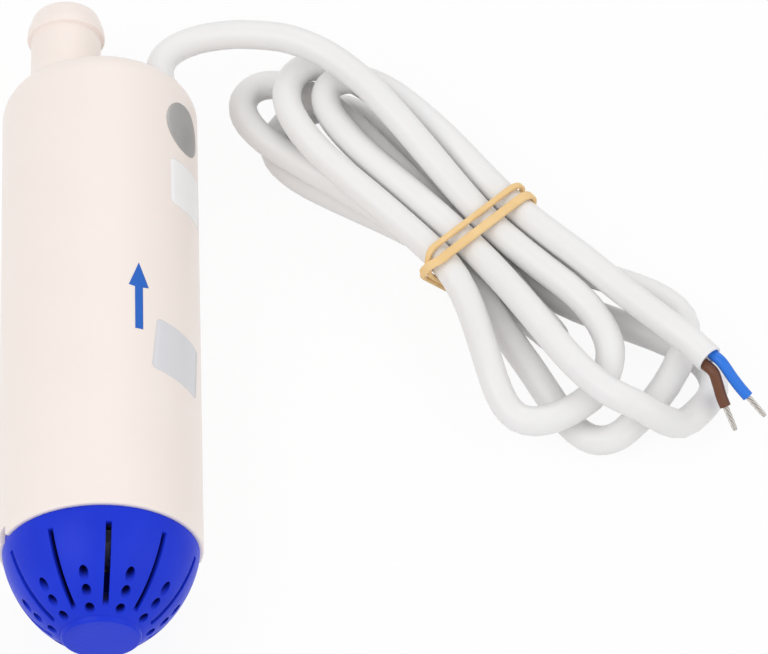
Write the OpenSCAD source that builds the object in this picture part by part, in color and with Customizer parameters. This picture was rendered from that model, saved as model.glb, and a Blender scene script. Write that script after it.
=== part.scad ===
// Caravan water pump: a round pump that hangs in a water container, with a pull-off strainer,
// a hose spigot and a two-core lead coiled into a hank.
// Sizes are in millimetres. The pump lies along Y, strainer at -Y and spigot at +Y, and rests
// on z = 0. The origin is under the middle of the pump, cord left out.

/* [Casing] */
// Outside diameter of the casing
casing_d = 38; // [37:0.5:42]
// Length of the casing from its rim to its flat shoulder
casing_len = 102; // [100:1:116]
// Thickness of the casing wall
wall = 2; // [1.6:0.1:2.2]
// Thickness of the roof that carries the spigot
roof_t = 3; // [2.5:0.1:3.5]
// Radius of the rounded shoulder
shoulder_r = 6; // [5:0.5:7]

/* [Hose spigot] */
// Distance of the spigot's axis from the pump's axis
spigot_offset = 6.7; // [6:0.1:7.2]
// Diameter of the neck that the hose grips
neck_d = 13.8; // [13:0.1:14.2]
// Diameter of the lip that keeps the hose on
lip_d = 15.3; // [14.8:0.1:15.8]
// Bore of the outlet
outlet_d = 9.5; // [8.5:0.1:10]
// Length of the spigot beyond the shoulder
spigot_len = 20; // [17:0.5:22]

/* [Strainer] */
// Depth of the domed strainer beyond the casing's rim
strainer_h = 18; // [17:0.5:20]
// Thickness of the strainer's wall
strainer_wall = 2.2; // [1.9:0.1:2.4]
// Number of inlet slots, with a column of holes between each two
slot_count = 10; // [8:1:10]
// Width of an inlet slot
slot_w = 1.1; // [0.9:0.1:1.4]
// Diameter of an inlet hole
hole_d = 1.8; // [1.2:0.1:2]

/* [Motor] */
// Width of the water path between the motor housing and the casing
water_gap = 1.8; // [1.6:0.1:2]
// Diameter of the motor shaft
shaft_d = 3; // [2.6:0.1:3.2]
// Number of poles on the armature
poles = 5; // [3:2:7]
// Number of vanes on the impeller
vanes = 6; // [4:1:8]

/* [Cord] */
// Diameter of the cord's sheath
cord_d = 5.7; // [5.4:0.1:5.7]
// Diameter of a core with its insulation
core_d = 2.2; // [1.8:0.1:2.3]
// Thickness of the rubber band round the hank
band_t = 0.9; // [0.7:0.1:0.9]
// Width of the rubber band
band_w = 1.6; // [1.2:0.1:1.8]

/* [Hidden] */
$fn = 64;

// Clearances
fixed_gap = 0.02;
seat_gap = 0.05;
running_gap = 0.05;
slide_gap = 0.1;
cut_gap = 0.1;

// Casing
casing_r = casing_d / 2;
inner_r = casing_r - wall;
inner_round = 4;
roof_in = casing_len - roof_t;
mouth_r = inner_r + 0.4;
mouth_depth = 8;
rim_chamfer = 0.5;
overall = strainer_h + casing_len + spigot_len;
rim_y = strainer_h - overall / 2;

// Spigot: heights above the shoulder
neck_r = neck_d / 2;
lip_r = lip_d / 2;
outlet_r = outlet_d / 2;
lip_low = spigot_len * 0.685;
lip_edge = 0.8;
lip_land = 1.2;
tip_round = 1.4;

// Strainer
strainer_r = casing_r - 0.7;
dome_power = 1.56;
dome_full = strainer_h * 1.072;
dome_end = strainer_h - 1;
dome_steps = 12;
disc_r = strainer_r * 0.41;
disc_round = 0.8;
skirt_len = 5;
skirt_r = mouth_r - slide_gap;
slot_low = 3.1;
slot_high = strainer_h - 2;
slot_turn = -82.5;
hole_radii = [0.745, 0.63, 0.49] * strainer_r;
key_turn = -160;
key_w = 3;
key_h = 1.6;
key_side_gap = 0.2;
key_top_gap = 0.4;

// Inlet plate and impeller, heights from the casing's rim
plate_t = 2;
plate_low = mouth_depth - plate_t;
eye_r = 5.5;
eye_wall = 1.5;
leg_depth = 2.8;
leg_in_r = inner_r - leg_depth;
tip_gap = 0.7;
impeller_r = leg_in_r - tip_gap;
plate_gap = 1.5;
impeller_low = mouth_depth + plate_gap;
vane_h = 5.5;
shroud_low = impeller_low + vane_h;
shroud_t = 1.5;
hub_r = 4;
hub_taper = 1.5;
hub_nose = 0.6;
vane_t = 1.4;
vane_lean = 28;
vane_inset = 0.4;
vane_r = impeller_r - vane_inset;
vane_low = impeller_low + vane_inset;

// Motor housing
housing_r = inner_r - water_gap;
sleeve_wall = 1.3;
sleeve_r = housing_r - sleeve_wall;
housing_low = shroud_low + shroud_t + 1;
end_wall_t = 2.5;
sleeve_top = casing_len * 0.765;
fin_w = 2;
fin_root = 0.2;
seal_r = 5;
seal_t = 2;

// Housing cap
plug_len = 4;
plug_low = sleeve_top - plug_len;
flange_t = 2;
flange_top = sleeve_top + flange_t;
ring_section = 0.95;
ring_mid = plug_low + plug_len / 2;
cap_boss_r = 4.4;
cap_boss_h = 8;
cap_boss_top = flange_top + cap_boss_h;
sheath_stop = 2;
sheath_low = flange_top + sheath_stop;

// Motor: its top keeps room under the cap for the wires
shaft_r = shaft_d / 2;
shaft_low = impeller_low + 0.5;
can_low = housing_low + end_wall_t;
wire_room = 8;
barrel_top = plug_low - wire_room;
can_top = barrel_top - 8;
rear_boss_top = can_top + 4;
shaft_top = rear_boss_top + 2;
can_r = sleeve_r - slide_gap;
can_wall = 0.9;
can_in = can_r - can_wall;
bearing_r = 3.5;
bearing_len = 3.4;
bearing_wall = 1.1;
brush_plate_low = can_top - 2.5;
comm_top = brush_plate_low - 1;
comm_low = comm_top - 6;
winding_low = can_low + 5;
winding_top = comm_low - 2;
winding_end = 2;
core_low = winding_low + winding_end;
core_top = winding_top - winding_end - 0.5;
magnet_low = core_low - 2.5;
magnet_top = core_top + 2;
magnet_t = can_in * 0.194;
magnet_half = 70;
air_gap = 0.35;
core_r = can_in - seat_gap - magnet_t - air_gap;
core_hub_r = core_r * 0.44;
arm_w = core_r * (1.2 / poles + 0.12);
shoe_t = core_r * 0.2;
shoe_half = 180 / poles - 8;
winding_r = core_r * 0.97 - shoe_t;
winding_in_r = core_r * 0.3;

// Commutator and brush gear
comm_r = 4;
comm_slit = 0.4;
comm_slit_depth = 0.7;
brush_w = 4;
brush_t = 3;
brush_low = comm_low + 1;
brush_out = can_in - 3.5;
holder_wall = 0.8;
holder_in = comm_r + 1;
holder_out = brush_out - 0.2;
brush_plate_top = can_top + 1;
spring_t = 0.4;
spring_w = 3;
foot_out = brush_out + 2;
tab_t = 0.6;
tab_w = 2.8;
barrel_r = 1.3;
barrel_len = 3;
tab_top = barrel_top - barrel_len;
tab_mid = brush_out + tab_t / 2;

// Cord where the pump holds it
cord_r = cord_d / 2;
wire_r = core_d / 2;
gland_r = 4.4;
gland_tip_r = 3.7;
gland_boss_r = 5.8;
gland_flange_r = 5.1;
gland_flange_t = 1.2;
cord_x = inner_r - gland_flange_r - slide_gap;
gland_boss_low = roof_in - 6;
gland_taper = 4;
gland_shoulder = casing_len - 1;
gland_tip = gland_shoulder + gland_taper;
wire_x = cord_x - 0.6;
wire_y = 1.3;

// Wires inside the motor housing: x and y from the pump's axis, height from the rim
wire_out = plug_low - 0.3;
wire_level = plug_low - 1.4;
cross_level = plug_low - 3.4;
brown_inner = [
    [wire_x, wire_y, sheath_low - cut_gap],
    [wire_x, wire_y, wire_out],
    [wire_x, wire_y, wire_level],
    [wire_x * 0.6 + tab_mid * 0.4, wire_y * 0.6, wire_level - 2],
    [tab_mid, 0, barrel_top + core_d],
    [tab_mid, 0, barrel_top + cut_gap],
];
blue_inner = [
    [wire_x, -wire_y, sheath_low - cut_gap],
    [wire_x, -wire_y, wire_out],
    [wire_x, -wire_y, wire_level],
    [tab_mid, -2.3 * wire_y, cross_level],
    [tab_mid * 0.57, -3.4 * wire_y, cross_level],
    [0, -3.7 * wire_y, cross_level],
    [-tab_mid * 0.57, -3.1 * wire_y, cross_level],
    [-tab_mid * 0.88, -1.4 * wire_y, cross_level - 0.4],
    [-tab_mid, 0, barrel_top + core_d],
    [-tab_mid, 0, barrel_top + cut_gap],
];

// Free cord: the route from the gland, x and y from the gland's mouth, height from the table
cord_exit = [cord_x, rim_y + gland_tip, 0];
lead_route = [
    [0, cut_gap, casing_r],
    [0, 2, casing_r],
    [0, 4, casing_r],
    [1.2, 6.7, casing_r + 0.2],
    [3.8, 8.7, casing_r + 0.6],
    [7.8, 9.8, casing_r + 1.4],
    [12.6, 9.9, casing_r + 2.4],
    [17.5, 9.1, casing_r + 3.6],
];

// Hank: lengths along it, across it and up from the table
hank_shift = [60.2, -33, 0];
hank_at = cord_exit + hank_shift;
hank_turn = -50;
run_gap = 0.55;
run_step = cord_d + run_gap;
band_gap = 0.45;
row_rise = cord_d - 0.25;
waist_low = cord_r + band_gap + band_t;
waist_mid = waist_low + row_rise;
waist_high = waist_mid + row_rise;
flat = cord_r;

// Places of the runs at the waist: two on the table, three above them, four on top
low_runs = [for (i = [-0.5:0.5]) [i * run_step, waist_low]];
mid_runs = [for (i = [-1:1]) [i * run_step, waist_mid]];
high_runs = [for (i = [-1.5:1.5]) [i * run_step, waist_high]];

// Half turns: first run, second run, side, reach, shift of the tip, bulge of each run,
// and heights on the way round
half_turns = [
    [high_runs[2], high_runs[0], 1, 41, -4, 16, 29, [14.2, 12, 9.6, 9.6, 12.5]],
    [high_runs[0], mid_runs[2], -1, 49.5, 0.5, 11, 14, [16, 17, 16.6, 11.6, 9.8]],
    [mid_runs[2], mid_runs[0], 1, 49, -5.5, 48, 10, [9.6, 9.6, 5, flat, 6]],
    [mid_runs[0], mid_runs[1], -1, 56, -5, 15, 12, [9.6, 9.6, 9.6, 9.9, 9.6]],
    [mid_runs[1], low_runs[0], 1, 25, 0.3, -4.4, -4.4, [9.8, flat]],
    [low_runs[0], low_runs[1], -1, 49, -4.5, 20, 22, [flat, flat, flat, flat, flat]],
    [low_runs[1], high_runs[1], 1, 56, 5, 32, 20, [flat, flat, 6.5, 16.3, 15.7]],
    [high_runs[1], high_runs[3], -1, 42.5, -2, 5.5, 7, [15.5, 16.2, 17.2, 17.4, 16.8]],
];
run_in = [
    [-53, -1, 23.8],
    [-45, 2.2, 23.8],
    [-36, 3.6, 23],
    [-27, 3.6, 21.8],
    [-18, 3.3, 20],
    [-8, 3.2, 17],
];
run_out = [
    [5, 9.5, 15.4],
    [12, 9.9, 15.8],
    [20, 10.6, 16.1],
    [30, 11.3, 16],
    [39, 12.2, 15.9],
    [46, 13, 15.8],
    [52.6, 13, 15.8],
];
half_turn_rings = 16;
cord_sides = 8;

// Stripped cores at the cut end, in the hank's lengths
cut_end = run_out[len(run_out) - 1];
brown_route = [
    cut_end + [cut_gap, -1.1, -0.8],
    cut_end + [core_d, -1.1, -0.8],
    cut_end + [4, -1.6, -2.3],
    cut_end + [5.8, -2.2, -4.1],
    cut_end + [7.4, -2.6, -5.3],
];
blue_route = [
    cut_end + [cut_gap, 1.1, 0.3],
    cut_end + [core_d, 1.1, 0.3],
    cut_end + [5, 1.1, -1.4],
    cut_end + [7.2, 1.2, -2.7],
    cut_end + [9.3, 1.4, -3.8],
];
strand_r = 0.6;
strand_len = 5;

// Places its children, made along Z from the casing's rim, along the pump's axis
module on_axis() {
    translate([0, rim_y, casing_r])
    rotate([-90, 0, 0])
    children();
}

// A round bar between two heights
module bar(r, low, top, x = 0) {
    translate([x, 0, low])
    cylinder(r = r, h = top - low);
}

// A block between two heights, from one x to another, centred on y
module block(x_low, x_high, width, low, top) {
    translate([x_low, -width / 2, low])
    cube([x_high - x_low, width, top - low]);
}

// The same point of the pump's axis frame in the part's frame
function from_axis(p) = [p.x, rim_y + p.z, casing_r - p.y];

// A point of the hank's lengths in the part's frame
function from_hank(p) = [
    hank_at.x + p.x * cos(hank_turn) - p.y * sin(hank_turn),
    hank_at.y + p.x * sin(hank_turn) + p.y * cos(hank_turn),
    p.z,
];

function unit(v) = v / norm(v);

// A smooth curve through points, with the given number of steps between each two
function curve_point(p, k, t) = let (
    a = p[max(k - 1, 0)],
    b = p[k],
    c = p[k + 1],
    d = p[min(k + 2, len(p) - 1)]
) (2 * b + (c - a) * t + (2 * a - 5 * b + 4 * c - d) * t ^ 2 + (3 * b - a - 3 * c + d) * t ^ 3) / 2;

function curve(p, steps) = [
    for (k = [0:len(p) - 2]) for (j = [0:steps - 1]) curve_point(p, k, j / steps),
    p[len(p) - 1],
];

// Height along a half turn, eased between heights that stand an equal angle apart
function eased(h, q) = let (
    k = min(floor(q), len(h) - 2),
    t = (1 - cos(180 * (q - k))) / 2
) h[k] + (h[k + 1] - h[k]) * t;

// A point of a half turn of the hank, at an angle from 0 to 180
function half_turn_point(w, angle) = let (
    middle = (w[0][0] + w[1][0]) / 2,
    half = (w[0][0] - w[1][0]) / 2,
    out = sin(angle) ^ 2,
    bulge = sign(half) * (cos(angle) > 0 ? w[5] : w[6]),
    heights = concat([w[0][1]], w[7], [w[1][1]])
) [
    w[2] * w[3] * sin(angle),
    middle + w[4] * out + (half + bulge * out) * cos(angle),
    eased(heights, angle * (len(heights) - 1) / 180),
];

// The whole free cord as points: the lead, the run into the hank, its half turns, the cut end
lead_points = [for (p = lead_route) [cord_exit.x + p.x, cord_exit.y + p.y, p.z]];
turn_points = [
    for (i = [0:len(half_turns) - 1])
    for (j = [(i == 0 ? 0 : 1):half_turn_rings])
    from_hank(half_turn_point(half_turns[i], 180 * j / half_turn_rings))
];
in_points = [for (p = run_in) from_hank(p)];
out_points = [for (p = run_out) from_hank(p)];
lead_steps = 3;
start_curve = curve(concat(lead_points, in_points, [turn_points[0]]), lead_steps);
end_curve = curve(concat([turn_points[len(turn_points) - 1]], out_points), 2);
cord_points = concat(
    start_curve,
    [for (i = [1:len(turn_points) - 2]) turn_points[i]],
    end_curve
);
lead_last = len(lead_points) * lead_steps;

// Direction of a path at one of its points
function heading(p, i) = unit(p[min(i + 1, len(p) - 1)] - p[max(i - 1, 0)]);

// Ring of points round a path, square to it
function ring(p, i, r, sides) = let (
    t = heading(p, i),
    s = unit(cross(t, [0, 0, 1])),
    n = cross(s, t)
) [for (k = [0:sides - 1]) let (a = 360 * (k + 0.5) / sides) p[i] + r * (cos(a) * s + sin(a) * n)];

// Faces of a tube with a number of rings
function tube_faces(rings, sides) = concat(
    [[for (k = [0:sides - 1]) k]],
    [for (i = [0:rings - 2]) for (k = [0:sides - 1]) let (
        a = i * sides + k,
        b = i * sides + (k + 1) % sides
    ) each [[a, a + sides, b], [b, a + sides, b + sides]]],
    [[for (k = [sides - 1:-1:0]) (rings - 1) * sides + k]]
);

// A tube along points of a path, from one index to another
module tube(p, first, last, r, sides) {
    points = [for (i = [first:last]) each ring(p, i, r, sides)];
    polyhedron(points, tube_faces(last - first + 1, sides));
}

// Least gap between parts of the cord that are further apart along it than a few diameters
function fine(p) = [
    for (i = [0:len(p) - 2]) let (n = ceil(norm(p[i + 1] - p[i]) / 2)) for (j = [0:n - 1])
    p[i] + (p[i + 1] - p[i]) * j / n
];
function least_gap(q, skip) = min([
    for (i = [0:len(q) - 1 - skip]) min([for (j = [i + skip:len(q) - 1]) norm(q[j] - q[i])])
]) - cord_d;
function path_length(p, i = 0, sum = 0) =
    i >= len(p) - 1 ? sum : path_length(p, i + 1, sum + norm(p[i + 1] - p[i]));

// Outside of the barrel with its rounded shoulder
module barrel() {
    straight = casing_len - shoulder_r;
    flat_r = casing_r - shoulder_r;
    rotate_extrude()
    union() {
        polygon([[0, 0], [casing_r - rim_chamfer, 0], [casing_r, rim_chamfer],
            [casing_r, straight], [0, straight]]);
        square([flat_r, casing_len]);
        translate([flat_r, straight])
        circle(r = shoulder_r);
    }
}

// Hollow of the casing, drawn in by a gap
module hollow(gap = 0) {
    r = inner_r - gap;
    top = roof_in - gap;
    rotate_extrude()
    union() {
        square([r, top - inner_round]);
        square([r - inner_round, top]);
        translate([r - inner_round, top - inner_round])
        circle(r = inner_round);
    }
}

// Hose spigot as turned on its own axis, standing on the roof
module spigot() {
    shoulder = casing_len + lip_low;
    land_low = shoulder + lip_edge;
    land_top = land_low + lip_land;
    tip = casing_len + spigot_len;
    tip_r = neck_r - 0.6;
    translate([-spigot_offset, 0, 0])
    rotate_extrude()
    union() {
        polygon([[0, roof_in], [neck_r, roof_in], [neck_r, shoulder], [lip_r, land_low],
            [lip_r, land_top], [tip_r, tip - tip_round], [0, tip - tip_round]]);
        square([tip_r - tip_round, tip]);
        translate([tip_r - tip_round, tip - tip_round])
        circle(r = tip_round);
    }
}

module casing() {
    color("linen")
    on_axis()
    difference() {
        union() {
            difference() {
                union() {
                    barrel();
                    spigot();
                }
                hollow();
                bar(mouth_r, -1, mouth_depth);
            }
            bar(gland_boss_r, gland_boss_low, roof_in + 0.5, cord_x);
        }
        bar(outlet_r, roof_in - 1, casing_len + spigot_len + 1, -spigot_offset);
        bar(gland_r + seat_gap, gland_boss_low - 1, casing_len + 1, cord_x);
        for (turn = [0, 180])
            rotate([0, 0, key_turn + turn])
            block(mouth_r - 1, casing_r + 1, key_w + 2 * key_side_gap, -1, key_h + key_top_gap);
    }
}

// Radius of the dome at a depth below the rim, drawn in by an inset
function dome_r(s, inset) =
    (strainer_r - inset) * sqrt(1 - (s / (dome_full - inset)) ^ dome_power);

module strainer_shell() {
    outer = [for (i = [0:dome_steps]) let (s = dome_end * i / dome_steps) [dome_r(s, 0), -s]];
    inner_end = dome_end - strainer_wall;
    inner = [for (i = [dome_steps:-1:0]) let (s = inner_end * i / dome_steps)
        [dome_r(s, strainer_wall), -s]];
    rotate_extrude()
    polygon(concat(outer, [[0, -dome_end], [0, -inner_end]], inner));
    rotate_extrude()
    polygon([[0, -dome_end], [disc_r, -dome_end], [disc_r, disc_round - strainer_h - 0.4],
        [disc_r - disc_round, -strainer_h], [0, -strainer_h]]);
    difference() {
        bar(skirt_r, -0.01, skirt_len);
        bar(strainer_r - strainer_wall, -1, skirt_len + 1);
    }
    for (turn = [0, 180])
        rotate([0, 0, key_turn + turn])
        block(skirt_r - 0.5, strainer_r, key_w, -0.01, key_h);
}

module strainer() {
    slot_end_r = dome_r(slot_high, 0);
    color("royalblue")
    on_axis()
    difference() {
        strainer_shell();
        for (i = [0:slot_count - 1])
            rotate([0, 0, slot_turn + 360 * i / slot_count]) {
                block(slot_end_r, casing_r, slot_w, -slot_high, -slot_low);
                rotate([0, 0, 180 / slot_count])
                for (r = hole_radii)
                    bar(hole_d / 2, -strainer_h - 1, -slot_low, r);
            }
    }
}

module inlet_plate() {
    color("gainsboro")
    on_axis()
    difference() {
        union() {
            bar(mouth_r - seat_gap, plate_low, mouth_depth);
            bar(eye_r + eye_wall, plate_low - 0.8, mouth_depth);
        }
        bar(eye_r, plate_low - 2, mouth_depth + 1);
    }
}

module impeller() {
    color("white")
    on_axis()
    difference() {
        union() {
            bar(impeller_r, shroud_low, shroud_low + shroud_t);
            bar(hub_r, impeller_low, shroud_low + shroud_t);
            translate([0, 0, impeller_low - hub_nose])
            cylinder(r1 = hub_r - hub_taper, r2 = hub_r, h = hub_nose);
            intersection() {
                bar(vane_r, impeller_low - 1, shroud_low + 1);
                for (i = [0:vanes - 1])
                    rotate([0, 0, 360 * i / vanes])
                    translate([hub_r - hub_taper, 0, 0])
                    rotate([0, 0, vane_lean])
                    block(0, impeller_r * 2, vane_t, vane_low, shroud_low + 0.5);
            }
        }
        bar(shaft_r + fixed_gap, shaft_low, shroud_low + shroud_t + 1);
    }
}

module motor_shaft() {
    color("silver")
    on_axis()
    bar(shaft_r, shaft_low, shaft_top);
}

// Outline of the armature's laminations, grown by a gap
module lamination(gap) {
    circle(r = core_hub_r + gap);
    for (i = [0:poles - 1])
        rotate(360 * i / poles) {
            translate([0, -arm_w / 2 - gap])
            square([core_r - shoe_t / 2, arm_w + 2 * gap]);
            intersection() {
                difference() {
                    circle(r = core_r);
                    circle(r = core_r - shoe_t - gap);
                }
                polygon([[0, 0], core_r * 2 * [cos(shoe_half), -sin(shoe_half)], [core_r * 4, 0],
                    core_r * 2 * [cos(shoe_half), sin(shoe_half)]]);
            }
        }
}

module armature_core() {
    color("gray")
    on_axis()
    difference() {
        translate([0, 0, core_low])
        linear_extrude(core_top - core_low)
        lamination(0);
        bar(shaft_r + fixed_gap, core_low - 1, core_top + 1);
    }
}

module armature_windings() {
    color("peru")
    on_axis()
    difference() {
        bar(winding_r, winding_low, winding_top);
        bar(winding_in_r, winding_low - 1, winding_top + 1);
        translate([0, 0, core_low - seat_gap])
        linear_extrude(core_top - core_low + 2 * seat_gap)
        lamination(seat_gap);
    }
}

module commutator() {
    color("chocolate")
    on_axis()
    difference() {
        bar(comm_r, comm_low, comm_top);
        bar(shaft_r + fixed_gap, comm_low - 1, comm_top + 1);
        for (i = [0:poles - 1])
            rotate([0, 0, 360 * (i + 0.5) / poles])
            block(comm_r - comm_slit_depth, comm_r + 1, comm_slit, comm_low - 1, comm_top + 1);
    }
}

// Room for a bearing with the shaft's hole through it
module bearing_seat(low, hole_low, hole_top) {
    bar(bearing_r + fixed_gap, low, low + bearing_len + 1);
    bar(shaft_r + 0.5, hole_low, hole_top);
}

module motor_can() {
    color("silver")
    on_axis()
    difference() {
        union() {
            difference() {
                bar(can_r, can_low, can_top);
                bar(can_in, can_low + can_wall, can_top + 1);
            }
            bar(bearing_r + bearing_wall, can_low, can_low + can_wall + bearing_len);
        }
        bearing_seat(can_low + can_wall, can_low - 1, can_low + 2);
    }
}

module bearing(low) {
    color("goldenrod")
    on_axis()
    difference() {
        bar(bearing_r, low, low + bearing_len);
        bar(shaft_r + running_gap, low - 1, low + bearing_len + 1);
    }
}

module front_bearing() {
    bearing(can_low + can_wall);
}

module rear_bearing() {
    bearing(rear_boss_top - bearing_len);
}

module field_magnets() {
    wedge = can_r * 2;
    color("dimgray")
    on_axis()
    for (turn = [90, 270])
        rotate([0, 0, turn])
        intersection() {
            difference() {
                bar(can_in - seat_gap, magnet_low, magnet_top);
                bar(can_in - seat_gap - magnet_t, magnet_low - 1, magnet_top + 1);
            }
            translate([0, 0, magnet_low])
            linear_extrude(magnet_top - magnet_low)
            polygon([[0, 0], wedge * [cos(magnet_half), -sin(magnet_half)], [wedge, -wedge],
                [wedge, wedge], wedge * [cos(magnet_half), sin(magnet_half)]]);
        }
}

module brush_plate() {
    pocket_w = brush_w + 2 * seat_gap;
    color("saddlebrown")
    on_axis()
    difference() {
        union() {
            bar(can_in - seat_gap, brush_plate_low, can_top);
            bar(can_r, can_top, brush_plate_top);
            bar(bearing_r + bearing_wall, brush_plate_top, rear_boss_top);
            for (turn = [0, 180])
                rotate([0, 0, turn])
                block(holder_in, holder_out, pocket_w + 2 * holder_wall,
                    brush_low - holder_wall, brush_plate_low + 0.5);
        }
        bearing_seat(rear_boss_top - bearing_len, brush_plate_low - 1, rear_boss_top);
        for (turn = [0, 180])
            rotate([0, 0, turn]) {
                block(holder_in - 1, holder_out + 1, pocket_w,
                    brush_low - seat_gap, brush_low + brush_t + seat_gap);
                block(brush_out - seat_gap, brush_out + tab_t + seat_gap, tab_w + 2 * seat_gap,
                    brush_plate_low - 1, brush_plate_top + 1);
            }
    }
}

module brushes() {
    color("black")
    on_axis()
    for (turn = [0, 180])
        rotate([0, 0, turn])
        difference() {
            block(comm_r - 1, brush_out, brush_w, brush_low, brush_low + brush_t);
            bar(comm_r + running_gap, brush_low - 1, brush_low + brush_t + 1);
        }
}

module brush_springs() {
    color("gold")
    on_axis()
    for (turn = [0, 180])
        rotate([0, 0, turn]) {
            block(brush_out, brush_out + spring_t, spring_w, brush_low, brush_plate_low);
            block(brush_out, foot_out, spring_w, brush_plate_low - spring_t, brush_plate_low);
        }
}

module terminals() {
    color("gold")
    on_axis()
    for (turn = [0, 180])
        rotate([0, 0, turn]) {
            block(brush_out, brush_out + tab_t, tab_w, brush_plate_low, tab_top + 0.5);
            bar(barrel_r, tab_top, barrel_top, tab_mid);
        }
}

module motor_housing() {
    fin_in = housing_r - fin_root;
    post_in = housing_r + seat_gap;
    color("ivory")
    on_axis()
    difference() {
        union() {
            bar(housing_r, housing_low, sleeve_top);
            intersection() {
                hollow(seat_gap);
                for (turn = [45:90:315])
                    rotate([0, 0, turn]) {
                        block(leg_in_r, casing_r, fin_w, mouth_depth, housing_low + 0.5);
                        block(fin_in, casing_r, fin_w, housing_low, sleeve_top - 0.5);
                        block(post_in, casing_r, fin_w, sleeve_top - 1, casing_len);
                    }
            }
        }
        bar(sleeve_r, housing_low + end_wall_t, sleeve_top + 1);
        bar(seal_r + fixed_gap, housing_low - 1, housing_low + seal_t);
        bar(shaft_r + 0.5, housing_low - 1, sleeve_top);
    }
}

module shaft_seal() {
    color("black")
    on_axis()
    difference() {
        bar(seal_r, housing_low, housing_low + seal_t);
        bar(shaft_r + running_gap, housing_low - 1, housing_low + seal_t + 1);
    }
}

module housing_cap() {
    color("ivory")
    on_axis()
    difference() {
        union() {
            bar(sleeve_r - seat_gap, plug_low, sleeve_top + 0.5);
            bar(housing_r, sleeve_top, flange_top);
            intersection() {
                bar(cap_boss_r, flange_top - 0.5, cap_boss_top, cord_x);
                bar(housing_r, sleeve_top, cap_boss_top);
            }
        }
        difference() {
            bar(casing_r, ring_mid - ring_section / 2, ring_mid + ring_section / 2);
            bar(sleeve_r - ring_section, ring_mid - 1, ring_mid + 1);
        }
        bar(cord_r + fixed_gap, sheath_low, cap_boss_top + 1, cord_x);
        for (y = [-wire_y, wire_y])
            translate([wire_x, y, plug_low - 1])
            cylinder(r = wire_r + seat_gap, h = sheath_low - plug_low + 2);
    }
}

module housing_o_ring() {
    section_r = ring_section / 2 - fixed_gap;
    color("black")
    on_axis()
    translate([0, 0, ring_mid])
    rotate_extrude()
    translate([sleeve_r - ring_section / 2, 0])
    circle(r = section_r);
}

module cable_gland() {
    color("lightgray")
    on_axis()
    difference() {
        union() {
            bar(gland_flange_r, gland_boss_low - gland_flange_t, gland_boss_low - fixed_gap, cord_x);
            bar(gland_r, gland_boss_low - gland_flange_t / 2, gland_shoulder, cord_x);
            translate([cord_x, 0, gland_shoulder])
            cylinder(r1 = gland_r, r2 = gland_tip_r, h = gland_taper);
        }
        bar(cord_r + fixed_gap, gland_boss_low - 3, gland_tip + 1, cord_x);
    }
}

module wire(route, steps, r) {
    path = curve(route, steps);
    tube(path, 0, len(path) - 1, r, 8);
}

module inner_brown_wire() {
    color("saddlebrown")
    wire([for (p = brown_inner) from_axis(p)], 2, wire_r);
}

module inner_blue_wire() {
    color("dodgerblue")
    wire([for (p = blue_inner) from_axis(p)], 2, wire_r);
}

module cord_tail() {
    color("whitesmoke")
    on_axis()
    bar(cord_r, sheath_low, gland_tip, cord_x);
}

module cord_lead() {
    color("whitesmoke")
    tube(cord_points, 0, lead_last, cord_r, cord_sides);
}

module cord_hank() {
    echo(cord_length = path_length(cord_points), cord_gap = least_gap(fine(cord_points), 10));
    color("whitesmoke")
    tube(cord_points, lead_last, len(cord_points) - 1, cord_r, cord_sides);
}

// The band goes twice round the waist and crosses itself at the near side
side_lean = atan2(run_step, waist_high - waist_low);
band_angles = [180, 180 + side_lean, 180 + side_lean, 240, 270, 270, 300, 360 - side_lean,
    360 - side_lean, 360, 390, 420, 450, 450, 480, 510];
band_corners = [high_runs[0], high_runs[0], low_runs[0], low_runs[0], low_runs[0], low_runs[1],
    low_runs[1], low_runs[1], high_runs[3], high_runs[3], high_runs[3], high_runs[3], high_runs[3],
    high_runs[0], high_runs[0], high_runs[0]];
band_spread = 1.5;
band_lift = band_t + 0.3;
band_shares = [1.15, 0.75];
band_shift_angle = 70;
band_rest = cord_r + band_gap + band_t / 2;

// One corner pair of the band's section, for a place on one of its two turns
function band_ring(turn, i) = let (
    a = band_angles[i],
    from_start = a - 180,
    to_end = 540 - a,
    away = min(1, from_start / band_shift_angle, to_end / band_shift_angle),
    near_lift = turn == 0 ? to_end : from_start,
    lift = band_lift * max(0, min(1, 2 - 2 * near_lift / band_shift_angle)),
    along = band_spread * (1 + (turn == 0 ? away : -away)),
    n = [0, cos(a), sin(a)],
    p = [along, band_corners[i][0], band_corners[i][1]] + (band_rest + lift) * n,
    w = [band_w / 2 * band_shares[turn], 0, 0],
    t = band_t / 2 * n
) [for (c = [p + w - t, p - w - t, p - w + t, p + w + t]) from_hank(c)];

module rubber_band() {
    count = len(band_angles);
    rings = 2 * count;
    points = [for (turn = [0, 1]) for (i = [0:count - 1]) each band_ring(turn, i)];
    faces = [for (i = [0:rings - 1]) for (k = [0:3]) let (
        next = (i + 1) % rings,
        a = i * 4 + k,
        b = i * 4 + (k + 1) % 4,
        c = next * 4 + k,
        d = next * 4 + (k + 1) % 4
    ) each [[a, b, c], [b, d, c]]];
    color("burlywood")
    polyhedron(points, faces);
}

module core(route) {
    wire([for (p = route) from_hank(p)], 2, wire_r);
}

// Bare tinned strand, straight on from a core's last stretch
module core_tip(route) {
    p = [for (q = route) from_hank(q)];
    end = p[len(p) - 1];
    path = curve(p, 2);
    way = heading(path, len(path) - 1);
    tube([end, end + strand_len / 2 * way, end + strand_len * way], 0, 2, strand_r, 8);
}

module brown_core() {
    color("saddlebrown")
    core(brown_route);
}

module blue_core() {
    color("dodgerblue")
    core(blue_route);
}

module brown_core_tip() {
    color("silver")
    core_tip(brown_route);
}

module blue_core_tip() {
    color("silver")
    core_tip(blue_route);
}

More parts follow.
